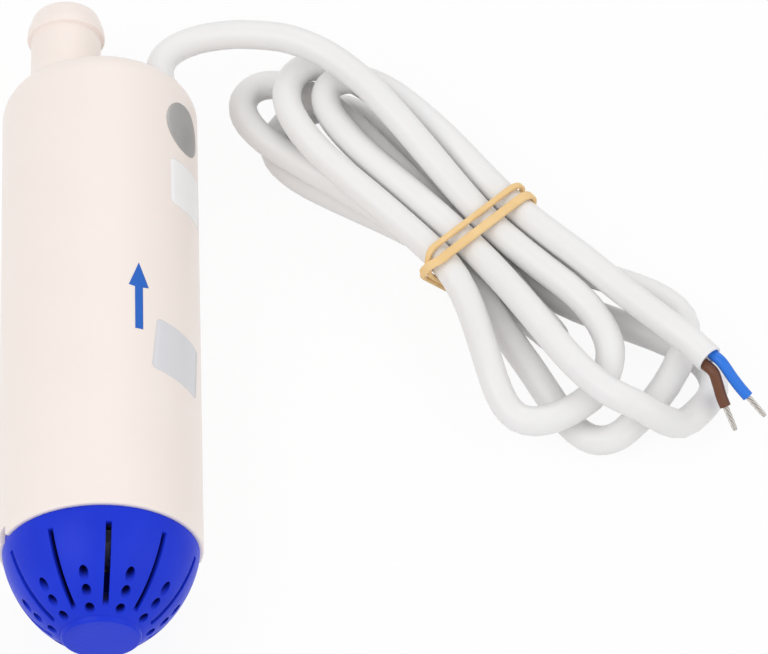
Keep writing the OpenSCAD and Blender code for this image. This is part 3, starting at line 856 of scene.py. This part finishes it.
@dataclass
class Strainer:
    """Blue domed strainer with its slots, holes, end disc, skirt and keys, and shade painted on the walls of
    its openings.
    """

    radius: float = 18.3
    depth: float = 18.0
    wall: float = 2.2
    power: float = 1.56
    full: float = 19.296
    disc: float = 7.5
    disc_height: float = 1.0
    disc_step: float = 0.05
    disc_crease: float = 0.1
    disc_draft: float = 0.25
    disc_rounding: float = 0.55
    rim_height: float = 0.6
    rim_gap: float = 0.02
    rim_crease: float = 0.05
    skirt: float = 17.3
    skirt_length: float = 5.0
    edge: float = 0.3
    broken_edge: float = 0.12
    slots: int = 10
    slot_half: float = 0.55
    slot_turn: float = 7.5
    slot_low: float = 3.1
    slot_high: float = 16.0
    hole_radius: float = 0.9
    hole_rows: tuple[float, ...] = (13.63, 11.53, 8.97)
    key_turn: float = -70.0
    key_half: float = 1.5
    key_height: float = 1.6
    key_root: float = 0.5
    key_foot: float = 0.4
    rings: int = 40
    overshoot: float = 1.0
    # The values below set where shade is painted on the walls of slots and holes, and the colour of that
    # painted shade.
    lit_to: float = 0.3
    full_shade_from: float = 1.9
    shade_over_inner_skin: float = 0.08
    shade_under_rim: float = 0.5
    shade_past_slots: float = 0.6
    painted_shade_colour: Colour = (0.003, 0.005, 0.090)

    def build(self) -> None:
        """Build and dress the strainer."""
        shell = revolve("strainer_shell", self._outline(), steps=200)
        carve(shell, self._keys(), Carve.ADD)
        carve(shell, self._openings(), Carve.CUT)
        soften(shell, self.broken_edge)
        hand_over(shell, BLUE_PLASTIC, Body.STRAINER, "dome with slots and holes", "strainer")
        # Painted shade: the walls of slots and holes are darkened with their depth.
        self._paint_shade_in_openings(Sheet(shell.data.materials[0].node_tree))

    def _dome(self, s: float, inset: float) -> float:
        """Return the dome's radius at a depth below the rim, drawn in by an inset."""
        return (self.radius - inset) * math.sqrt(1 - (s / (self.full - inset)) ** self.power)

    def _outline(self) -> list[Point2]:
        """Draw the outline that is turned into the strainer.

        Returns:
            Its points, from the inner pole round the skirt to the outer pole.
        """
        end = self.depth - self.disc_height
        inner_end = end - self.wall
        inner = [(self._dome(s, self.wall), -s) for s in
                 (inner_end * (1 - k / self.rings) for k in range(self.rings))]
        rim = rounded([
            Corner(self.radius - self.wall, 0),
            Corner(self.radius - self.wall, self.skirt_length, self.edge),
            Corner(self.skirt, self.skirt_length, self.edge),
            Corner(self.skirt, self.rim_gap, self.rim_crease),
            Corner(self.radius - self.rim_gap, self.rim_gap, self.edge),
            Corner(self._dome(self.rim_height, 0), -self.rim_height),
        ], steps=5)
        outer = [(self._dome(s, 0), -s) for s in
                 (self.rim_height + (end - self.rim_height) * k / self.rings
                  for k in range(1, self.rings + 1))]
        disc = rounded([
            Corner(*outer[-1]),
            Corner(self.disc, -end - self.disc_step, self.disc_crease),
            Corner(self.disc - self.disc_draft, -self.depth, self.disc_rounding),
            Corner(0, -self.depth),
        ], steps=6, stretch=2.0)
        return [(0, -inner_end), *inner, *rim, *outer, *disc[1:]]

    def _keys(self) -> list[Piece]:
        """Make the keys that sit in the casing's notches.

        Returns:
            The two keys.
        """
        low = (self.skirt - self.key_root, -self.key_half, -self.key_foot)
        high = (self.radius - self.edge, self.key_half, self.key_height)
        return [axis_block("key_solid", low, high, self.key_turn + turn) for turn in (0, 180)]

    def _paint_shade_in_openings(self, sheet: Sheet) -> None:
        """Paint shade into the base colour on the walls of slots and holes, darker with their depth below the
        dome's skin.

        Args:
            sheet: nodes of the strainer's material.
        """
        place = sheet.node("SeparateXYZ", {"Vector": sheet.place()}).outputs
        below = sheet.value("SUBTRACT", RIM_Y * MM, place["Y"])
        up = sheet.value("SUBTRACT", place["Z"], AXIS_Z * MM)
        squares = [sheet.value("MULTIPLY", side, side) for side in (place["X"], up)]
        radius = sheet.value("SQRT", sheet.value("ADD", *squares))

        def skin(inset: float) -> Socket:
            """Return the radius of the dome's skin here, drawn in by an inset."""
            share = sheet.value("DIVIDE", below, (self.full - inset) * MM)
            left = sheet.value("SUBTRACT", 1.0, sheet.value("POWER", share, self.power))
            return sheet.value("MULTIPLY", sheet.value("SQRT", left), (self.radius - inset) * MM)

        # Painted shade mask: 0 near the dome's skin, rising to 1 deeper inside the openings.
        painted_shade_mask = sheet.node("MapRange", interpolation_type="SMOOTHSTEP", inputs={
            "Value": sheet.value("SUBTRACT", skin(0.0), radius),
            "From Min": self.lit_to * MM,
            "From Max": self.full_shade_from * MM,
        })
        inner_skin = sheet.value("ADD", skin(self.wall), self.shade_over_inner_skin * MM)
        share = painted_shade_mask.outputs["Result"]
        for test in (
            sheet.value("GREATER_THAN", radius, inner_skin),
            sheet.value("GREATER_THAN", below, self.shade_under_rim * MM),
            sheet.value("LESS_THAN", below, (self.slot_high + self.shade_past_slots) * MM),
        ):
            share = sheet.value("MULTIPLY", share, test)
        shader = sheet.tree.nodes["Principled BSDF"]
        lit = shader.inputs["Base Color"].links[0].from_socket
        # Mix the painted shade colour into the plastic's own colour.
        blend = sheet.node("Mix", {"Factor": share, "A": lit, "B": (*self.painted_shade_colour, 1.0)}, data_type="RGBA")
        sheet.feed(shader, {"Base Color": blend.outputs["Result"]})

    def _openings(self) -> list[Piece]:
        """Make the cutters of the strainer.

        Returns:
            The slots and the columns of holes between them.
        """
        step = 360 / self.slots
        low = (self._dome(self.slot_high, 0), -self.slot_half, -self.slot_high)
        high = (self.radius + self.overshoot, self.slot_half, -self.slot_low)
        hole = plug(self.hole_radius, -self.depth - self.overshoot, -self.slot_low)
        tools = []
        for i in range(self.slots):
            turn = self.slot_turn + step * i
            tools.append(axis_block("slot_cutter", low, high, turn))
            between = math.radians(turn + step / 2)
            for r in self.hole_rows:
                origin = Vector((r * math.sin(between), RIM_Y, AXIS_Z + r * math.cos(between)))
                tools.append(revolve_on("hole_cutter", hole, origin, ALONG, 20))
        return tools


@dataclass(frozen=True)
class HalfTurn:
    """Half a turn of the hank, from one run at the waist to another."""

    first: Point2
    second: Point2
    side: int
    reach: float
    tip: float
    bulge_first: float
    bulge_second: float
    heights: tuple[float, ...]

    def point(self, angle: float) -> Vector:
        """Work out a place on the half turn.

        Args:
            angle: how far round it is, from 0 to pi.

        Returns:
            The place along the hank, across it and up.
        """
        middle = (self.first[0] + self.second[0]) / 2
        half = (self.first[0] - self.second[0]) / 2
        out = math.sin(angle) ** 2
        bulge = math.copysign(1, half) * (self.bulge_first if math.cos(angle) > 0 else self.bulge_second)
        return Vector((
            self.side * self.reach * math.sin(angle),
            middle + self.tip * out + (half + bulge * out) * math.cos(angle),
            self._height(angle),
        ))

    def _height(self, angle: float) -> float:
        """Ease between the given heights.

        Args:
            angle: how far round the place is, from 0 to pi.

        Returns:
            The height there.
        """
        levels = [self.first[1], *self.heights, self.second[1]]
        q = angle / math.pi * (len(levels) - 1)
        k = min(int(q), len(levels) - 2)
        t = (1 - math.cos(math.pi * (q - k))) / 2
        return levels[k] + (levels[k + 1] - levels[k]) * t


@dataclass
class Cord:
    """White cord with its hank, rubber band, cut end and stripped cores, sizes as in the solids."""

    diameter: float = 5.7
    run_gap: float = 0.55
    run_nest: float = 0.25
    band_gap: float = 0.45
    band_thick: float = 0.9
    band_wide: float = 1.6
    band_shares: Point2 = (1.15, 0.75)
    band_spread: float = 1.5
    band_shift: float = 70.0
    band_cross_gap: float = 0.3
    core: float = 2.2
    strand_length: float = 5.0
    strand_wire: float = 0.2
    strand_lay: float = 0.38
    strand_twist: float = 260.0
    exit: Point3 = (11.8, 53.0, 19.0)
    hank_at: Point2 = (72.0, 20.0)
    hank_turn: float = -50.0
    steps: int = 40
    lead: tuple[Point3, ...] = (
        (0, 0.1, 19), (0, 2, 19), (0, 4, 19), (1.2, 6.7, 19.2), (3.8, 8.7, 19.6), (7.8, 9.8, 20.4),
        (12.6, 9.9, 21.4), (17.5, 9.1, 22.6),
    )
    run_in: tuple[Point3, ...] = (
        (-53, -1, 23.8), (-45, 2.2, 23.8), (-36, 3.6, 23), (-27, 3.6, 21.8), (-18, 3.3, 20), (-8, 3.2, 17),
    )
    run_out: tuple[Point3, ...] = (
        (5, 9.5, 15.4), (12, 9.9, 15.8), (20, 10.6, 16.1), (30, 11.3, 16), (39, 12.2, 15.9),
        (46, 13, 15.8), (52, 13, 15.8),
    )
    cut_end: Point3 = (52.6, 13, 15.8)
    brown_route: tuple[Point3, ...] = (
        (-0.8, -1.1, -0.8), (0, -1.1, -0.8), (2.2, -1.1, -0.8), (4, -1.6, -2.3), (5.8, -2.2, -4.1),
        (7.4, -2.6, -5.3),
    )
    blue_route: tuple[Point3, ...] = (
        (-0.8, 1.1, 0.3), (0, 1.1, 0.3), (2.2, 1.1, 0.3), (5, 1.1, -1.4), (7.2, 1.2, -2.7), (9.3, 1.4, -3.8),
    )
    low_runs: list[Point2] = field(init=False)
    mid_runs: list[Point2] = field(init=False)
    high_runs: list[Point2] = field(init=False)

    def __post_init__(self) -> None:
        """Place the runs at the waist: two on the table, three above them, four on top."""
        step = self.diameter + self.run_gap
        rise = self.diameter - self.run_nest
        low = self.diameter / 2 + self.band_gap + self.band_thick
        self.low_runs = [(k * step, low) for k in (-0.5, 0.5)]
        self.mid_runs = [(k * step, low + rise) for k in (-1, 0, 1)]
        self.high_runs = [(k * step, low + 2 * rise) for k in (-1.5, -0.5, 0.5, 1.5)]

    def build(self) -> None:
        route = self._route()
        cord = self._tube("white_cord", route, self.diameter / 2, 6)
        hand_over(cord, WHITE_SHEATH, Body.PUMP, "free cord and hank on one curve", "cord_lead", "cord_hank")
        pieces = [
            self._sheath_end(),
            self._band(),
            self._core("brown_core_wire", self.brown_route, BROWN_CORE, "brown_core"),
            self._core("blue_core_wire", self.blue_route, BLUE_CORE, "blue_core"),
            self._strands("brown_core_strands", self.brown_route, "brown_core_tip"),
            self._strands("blue_core_strands", self.blue_route, "blue_core_tip"),
        ]

    def _on_hank(self, p: Sequence[float]) -> Vector:
        """Carry a place from the hank's own directions to the part's frame.

        Args:
            p: the place along, across and above the hank.

        Returns:
            The place in the part's frame, in millimetres.
        """
        t = math.radians(self.hank_turn)
        return Vector((
            self.hank_at[0] + p[0] * math.cos(t) - p[1] * math.sin(t),
            self.hank_at[1] + p[0] * math.sin(t) + p[1] * math.cos(t),
            p[2],
        ))

    def _half_turns(self) -> list[HalfTurn]:
        """List the hank's half turns.

        Returns:
            The half turns in the order in which the cord runs through them.
        """
        low, mid, high = self.low_runs, self.mid_runs, self.high_runs
        flat = (self.diameter / 2,) * 5
        return [
            HalfTurn(high[2], high[0], 1, 41, -4, 16, 29, (14.2, 12, 9.6, 9.6, 12.5)),
            HalfTurn(high[0], mid[2], -1, 49.5, 0.5, 11, 14, (16, 17, 16.6, 11.6, 9.8)),
            HalfTurn(mid[2], mid[0], 1, 49, -5.5, 48, 10, (9.6, 9.6, 5, flat[0], 6)),
            HalfTurn(mid[0], mid[1], -1, 56, -5, 15, 12, (9.6, 9.6, 9.6, 9.9, 9.6)),
            HalfTurn(mid[1], low[0], 1, 25, 0.3, -4.4, -4.4, (9.8, flat[0])),
            HalfTurn(low[0], low[1], -1, 49, -4.5, 20, 22, flat),
            HalfTurn(low[1], high[1], 1, 56, 5, 32, 20, (*flat[:2], 6.5, 16.3, 15.7)),
            HalfTurn(high[1], high[3], -1, 42.5, -2, 5.5, 7, (15.5, 16.2, 17.2, 17.4, 16.8)),
        ]

    def _route(self) -> list[Vector]:
        """Join the lead, the half turns and the last run.

        Returns:
            The whole centreline, from the gland to the cut end.
        """
        start = [Vector((self.exit[0] + p[0], self.exit[1] + p[1], p[2])) for p in self.lead]
        start += [self._on_hank(p) for p in self.run_in]
        turns = []
        for turn in self._half_turns():
            turns += [self._on_hank(turn.point(math.pi * k / self.steps)) for k in range(self.steps)]
        last = self._half_turns()[-1].point(math.pi)
        finish = [self._on_hank(last), *(self._on_hank(p) for p in self.run_out)]
        return self._curve([*start, turns[0]], 6)[:-1] + turns + self._curve(finish, 6)

    @staticmethod
    def _curve(points: Sequence[Vector], steps: int) -> list[Vector]:
        """Draw a smooth curve through points.

        Args:
            points: the points to pass through.
            steps: number of steps between each two.

        Returns:
            Points of the curve, both ends included.
        """
        made = []
        for k in range(len(points) - 1):
            a, b, c = points[max(k - 1, 0)], points[k], points[k + 1]
            d = points[min(k + 2, len(points) - 1)]
            for j in range(steps):
                t = j / steps
                made.append((2 * b + (c - a) * t + (2 * a - 5 * b + 4 * c - d) * t ** 2
                             + (3 * b - a - 3 * c + d) * t ** 3) / 2)
        return [*made, points[-1].copy()]

    @staticmethod
    def _tube(name: str, route: Sequence[Vector], radius: float, fineness: int) -> Piece:
        """Make a round tube along a route.

        Args:
            name: name of the new object.
            route: centreline in millimetres.
            radius: radius of the tube in millimetres.
            fineness: bevel resolution of the curve.

        Returns:
            The tube as a curve of one open spline.
        """
        data = bpy.data.curves.new(name, "CURVE")
        data.dimensions = "3D"
        data.bevel_depth = radius * MM
        data.bevel_resolution = fineness
        data.use_fill_caps = True
        spline = data.splines.new("POLY")
        spline.points.add(len(route) - 1)
        for point, place in zip(spline.points, route):
            point.co = (*(place * MM), 1.0)
        spline.use_smooth = True
        return new_object(name, data)

    def _ends_way(self) -> Vector:
        """Return the direction in which the cut end points."""
        return (self._on_hank(self.cut_end) - self._on_hank(self.run_out[-2])).normalized()

    def _sheath_end(self) -> Piece:
        """Build the cut edge of the sheath.

        Returns:
            A short ring with a hollow face.
        """
        r, wall, back = self.diameter / 2, 0.6, -0.9
        ring = revolve_on("sheath_end", rounded([
            Corner(r - wall, back),
            Corner(r, back),
            Corner(r, 0, 0.18),
            Corner(r - wall + 0.05, 0, 0.12),
            Corner(r - wall, back),
        ], steps=4), self._on_hank(self.cut_end), self._ends_way(), 48)
        weld(ring)
        smooth(ring)
        return hand_over(ring, WHITE_SHEATH, Body.PUMP, "cut edge of the sheath")

    def _core_points(self, route: Sequence[Point3]) -> list[Vector]:
        """Return the points of a stripped core in the part's frame."""
        return [self._on_hank([c + d for c, d in zip(self.cut_end, p)]) for p in route]

    def _core(self, name: str, route: Sequence[Point3], finish: Finish, node: str) -> Piece:
        """Build a stripped core.

        Args:
            name: name of the new object.
            route: points from the cut end.
            finish: colour of its insulation.
            node: CAD node that it stands for.

        Returns:
            The core as a curve.
        """
        core = self._tube(name, self._curve(self._core_points(route), 6), self.core / 2, 5)
        return hand_over(core, finish, Body.PUMP, "stripped core", node)

    def _strands(self, name: str, route: Sequence[Point3], node: str) -> Piece:
        """Build the twisted and tinned strands beyond a core.

        Args:
            name: name of the new object.
            route: points of the core from the cut end.
            node: CAD node that the strands stand for.

        Returns:
            The strands, six round one, as one mesh.
        """
        points = self._curve(self._core_points(route), 2)
        way = (points[-1] - points[-2]).normalized()
        sides = sides_of(way)
        round_one, rows, overlap = 6, 20, 0.02
        gathered, thinned, thin_from = 0.25, 0.35, 0.9
        mesh = bmesh.new()
        for k in range(round_one + 1):
            rings = []
            for i in range(rows + 1):
                t = i / rows
                turn = math.radians(360 / round_one * k + self.strand_twist * t)
                out = (0.0 if k == round_one else self.strand_lay) * (1 - gathered * t ** 3)
                centre = points[-1] + way * (self.strand_length * (t * (1 + overlap) - overlap)) \
                    + out * (math.cos(turn) * sides[0] + math.sin(turn) * sides[1])
                r = self.strand_wire * (1 - thinned * max(0.0, t - thin_from) / (1 - thin_from))
                rings.append(circle(mesh, centre, r, sides, 8))
            bridge(mesh, rings)
            mesh.faces.new(rings[0])
            mesh.faces.new(rings[-1])
        strands = solid(name, mesh)
        smooth(strands, 60.0)
        return hand_over(strands, TINNED, Body.PUMP, "tinned strands", node)

    def _band_places(self) -> list[tuple[float, Point2]]:
        """Follow the band once round the waist.

        Returns:
            Outward angles of the band with the run that it bends round at each.
        """
        low, high = self.low_runs, self.high_runs
        lean = math.degrees(math.atan2(high[0][0] - low[0][0], high[0][1] - low[0][1]))
        stretches = [
            (180, 180 - lean, high[0]), (180 - lean, 270, low[0]), (270, 360 + lean, low[1]),
            (360 + lean, 450, high[3]), (450, 540, high[0]),
        ]
        places, step = [], 8
        for start, end, run in stretches:
            count = max(2, round((end - start) / step))
            places += [(start + (end - start) * k / count, run) for k in range(count + 1)]
        return places[:-1]

    def _band(self) -> Piece:
        """Build the rubber band, which goes twice round the waist and crosses itself.

        Returns:
            The band as one loop.
        """
        rest = self.diameter / 2 + self.band_gap + self.band_thick / 2
        sides, squareness = 12, 0.5
        mesh = bmesh.new()
        rings = []
        for turn in (0, 1):
            wide = self.band_wide * self.band_shares[turn] / 2
            for angle, run in self._band_places():
                start, left = (angle - 180) / self.band_shift, (540 - angle) / self.band_shift
                away = min(1.0, start, left)
                away = away * away * (3 - 2 * away)
                lift = max(0.0, min(1.0, 2 - 2 * (start if turn else left)))
                lift *= self.band_thick + self.band_cross_gap
                along = self.band_spread * (1 - away if turn else 1 + away)
                t = math.radians(angle)
                out = Vector((0, math.cos(t), math.sin(t)))
                centre = Vector((along, run[0], run[1])) + (rest + lift) * out
                ring = []
                for k in range(sides):
                    a = 2 * math.pi * k / sides
                    across = math.copysign(abs(math.cos(a)) ** squareness, math.cos(a)) * wide
                    thick = math.copysign(abs(math.sin(a)) ** squareness, math.sin(a)) * self.band_thick / 2
                    place = centre + Vector((across, 0, 0)) + thick * out
                    ring.append(mesh.verts.new(self._on_hank(place) * MM))
                rings.append(ring)
        bridge(mesh, [*rings, rings[0]])
        band = solid("rubber_band_loop", mesh)
        band.data.shade_smooth()
        return hand_over(band, TAN_RUBBER, Body.PUMP, "rubber band, twice round the waist", "rubber_band")


@dataclass
class CableGland:
    """Tapered rubber gland where the cord leaves the casing's roof."""

    x: float = 11.8
    bore: float = 2.87
    body: float = 4.4
    tip: float = 3.7
    tip_edge: float = 0.3
    flange: float = 5.1
    flange_low: float = 91.8
    flange_edge: float = 0.2
    body_low: float = 93.0
    shoulder: float = 101.0
    end: float = 105.0
    crease: float = 0.1
    grooves: Point2 = (1.6, 2.7)
    groove: tuple[Point2, ...] = ((0, 0), (0.35, 0.1), (0.37, 0.5), (0.08, 0.6))

    def build(self) -> None:
        """Build and dress the gland with two flex grooves on its taper."""
        corners = [
            Corner(self.bore, self.flange_low),
            Corner(self.flange, self.flange_low, self.flange_edge),
            Corner(self.flange, self.body_low, self.flange_edge),
            Corner(self.body, self.body_low, self.crease),
            Corner(self.body, self.shoulder, self.crease),
        ]
        for rise in self.grooves:
            low = self.shoulder + rise
            r = self.body - (self.body - self.tip) * rise / (self.end - self.shoulder)
            corners += [Corner(r - inward, low + up, self.crease) for inward, up in self.groove]
        corners += [
            Corner(self.tip, self.end, self.tip_edge),
            Corner(self.bore, self.end),
            Corner(self.bore, self.flange_low),
        ]
        gland = revolve("gland_bush", rounded(corners, steps=4), self.x)
        weld(gland)
        smooth(gland)
        hand_over(gland, PALE_RUBBER, Body.PUMP, "tapered gland", "cable_gland")


@dataclass
class InnerWorks:
    """Pump and motor pieces inside the casing, kept as packed and given their finishes."""

    pieces: tuple[tuple[Finish, tuple[str, ...]], ...] = (
        (INNER_PLASTIC, ("inlet_plate", "impeller", "motor_housing", "housing_cap")),
        (BRIGHT_STEEL, ("motor_shaft", "motor_can")),
        (LAMINATIONS, ("armature_core",)),
        (COPPER, ("armature_windings", "commutator")),
        (FERRITE, ("field_magnets",)),
        (BRONZE, ("front_bearing", "rear_bearing")),
        (BROWN_BOARD, ("brush_plate",)),
        (CARBON, ("brushes",)),
        (BRASS, ("brush_springs", "terminals")),
        (BLACK_RUBBER, ("housing_o_ring", "shaft_seal")),
        (BROWN_CORE, ("inner_brown_wire",)),
        (BLUE_CORE, ("inner_blue_wire",)),
        (WHITE_SHEATH, ("cord_tail",)),
    )

    def build(self) -> None:
        """Dress each inner piece."""
        for finish, names in self.pieces:
            for name in names:
                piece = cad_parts[name]
                piece.data.materials.clear()
                piece.data.materials.append(finish.material())
                LOG.info("%s: %s", piece.name, finish.name)


@dataclass
class Studio:
    """Camera at the photograph's angle, pale floor, soft lamps and plain world."""

    camera_at: Point3 = (0.0379, -0.4682, 0.7640)
    looks_at: Point3 = (0.05435, 0.0073, 0.0)
    lens: float = 216.0
    sensor: float = 36.0
    lamps_look_at: Point3 = (0.05, 0.0, 0.01)
    floor_size: float = 3.0
    floor_drop: float = 0.0002
    floor_glow: float = 0.92
    ambient: float = 0.78
    lamps: tuple[tuple[str, Point3, float, float], ...] = (
        ("key_lamp", (-0.62, -0.40, 1.00), 0.8, 4.8),
        ("fill_lamp", (0.85, -0.45, 0.65), 0.9, 2.4),
        ("back_lamp", (0.25, 0.95, 0.85), 0.9, 2.4),
    )

    def build(self) -> None:
        """Build the whole stage."""
        self._camera()
        self._floor()
        self._world()
        for lamp in self.lamps:
            self._lamp(*lamp)
        bpy.context.scene.view_settings.view_transform = "Standard"

    @staticmethod
    def _aim(name: str, data: bpy.types.ID, place: Point3, target: Point3) -> Piece:
        """Put a camera or lamp in the scene.

        Args:
            name: name of the new object.
            data: the camera or lamp.
            place: where it is, in metres.
            target: what it points at.

        Returns:
            The object.
        """
        made = new_object(name, data)
        made.location = place
        way = Vector(target) - Vector(place)
        made.rotation_euler = way.to_track_quat("-Z", "Y").to_euler()
        return made

    def _camera(self) -> None:
        """Place the camera."""
        data = bpy.data.cameras.new("camera")
        data.lens = self.lens
        data.sensor_width = self.sensor
        data.sensor_fit = "HORIZONTAL"
        data.clip_start = 0.01
        bpy.context.scene.camera = self._aim("camera", data, self.camera_at, self.looks_at)

    @staticmethod
    def _seen(sheet: Sheet) -> Socket:
        """Tell rays that show the stage from rays that only carry its light.

        Args:
            sheet: nodes of the floor or the world.

        Returns:
            A socket that is 1 for camera, glossy and transmission rays.
        """
        path = sheet.node("LightPath").outputs
        straight = sheet.value("MAXIMUM", path["Is Camera Ray"], path["Is Glossy Ray"])
        return sheet.value("MAXIMUM", straight, path["Is Transmission Ray"])

    def _floor(self) -> None:
        """Lay a white floor that keeps a soft shadow."""
        mesh = bmesh.new()
        bmesh.ops.create_grid(mesh, x_segments=8, y_segments=8, size=self.floor_size)
        floor = solid("floor", mesh)
        floor.location.z = -self.floor_drop
        material = bpy.data.materials.new("white_floor")
        material.use_nodes = True
        sheet = Sheet(material.node_tree)
        sheet.tree.nodes.clear()
        paper = sheet.node("BsdfDiffuse", {"Color": (0.9, 0.9, 0.9, 1.0)})
        glow = sheet.node("Emission", {"Strength": 1.0})
        share = sheet.value("MULTIPLY", self._seen(sheet), self.floor_glow)
        blend = sheet.node("MixShader", {"Fac": share, 1: paper.outputs["BSDF"], 2: glow.outputs["Emission"]})
        sheet.node("OutputMaterial", {"Surface": blend.outputs["Shader"]})
        floor.data.materials.append(material)

    def _world(self) -> None:
        """Make a plain world, white where it is seen and softer as a light."""
        world = bpy.data.worlds.new("plain_world")
        bpy.context.scene.world = world
        world.use_nodes = True
        sheet = Sheet(world.node_tree)
        sheet.tree.nodes.clear()
        seen = sheet.node("Background", {"Color": (1.0, 1.0, 1.0, 1.0)})
        soft = sheet.node("Background", {"Color": (0.8, 0.8, 0.8, 1.0), "Strength": self.ambient})
        ends = {1: soft.outputs["Background"], 2: seen.outputs["Background"]}
        blend = sheet.node("MixShader", {"Fac": self._seen(sheet), **ends})
        sheet.node("OutputWorld", {"Surface": blend.outputs["Shader"]})

    def _lamp(self, name: str, place: Point3, size: float, power: float) -> None:
        """Hang a square soft lamp that points at the pump.

        Args:
            name: name of the lamp.
            place: where it hangs, in metres.
            size: side of its square, in metres.
            power: its power in watts.
        """
        data = bpy.data.lights.new(name, "AREA")
        data.shape = "SQUARE"
        data.size = size
        data.energy = power
        self._aim(name, data, place, self.lamps_look_at)


def main() -> None:
    """Build the stage and every sub-assembly in order."""
    logging.basicConfig(level=logging.INFO, format="%(message)s")
    Studio().build()
    Cord().build()
    Casing().build()
    Strainer().build()
    CableGland().build()
    InnerWorks().build()


if __name__ == "__main__":
    main()
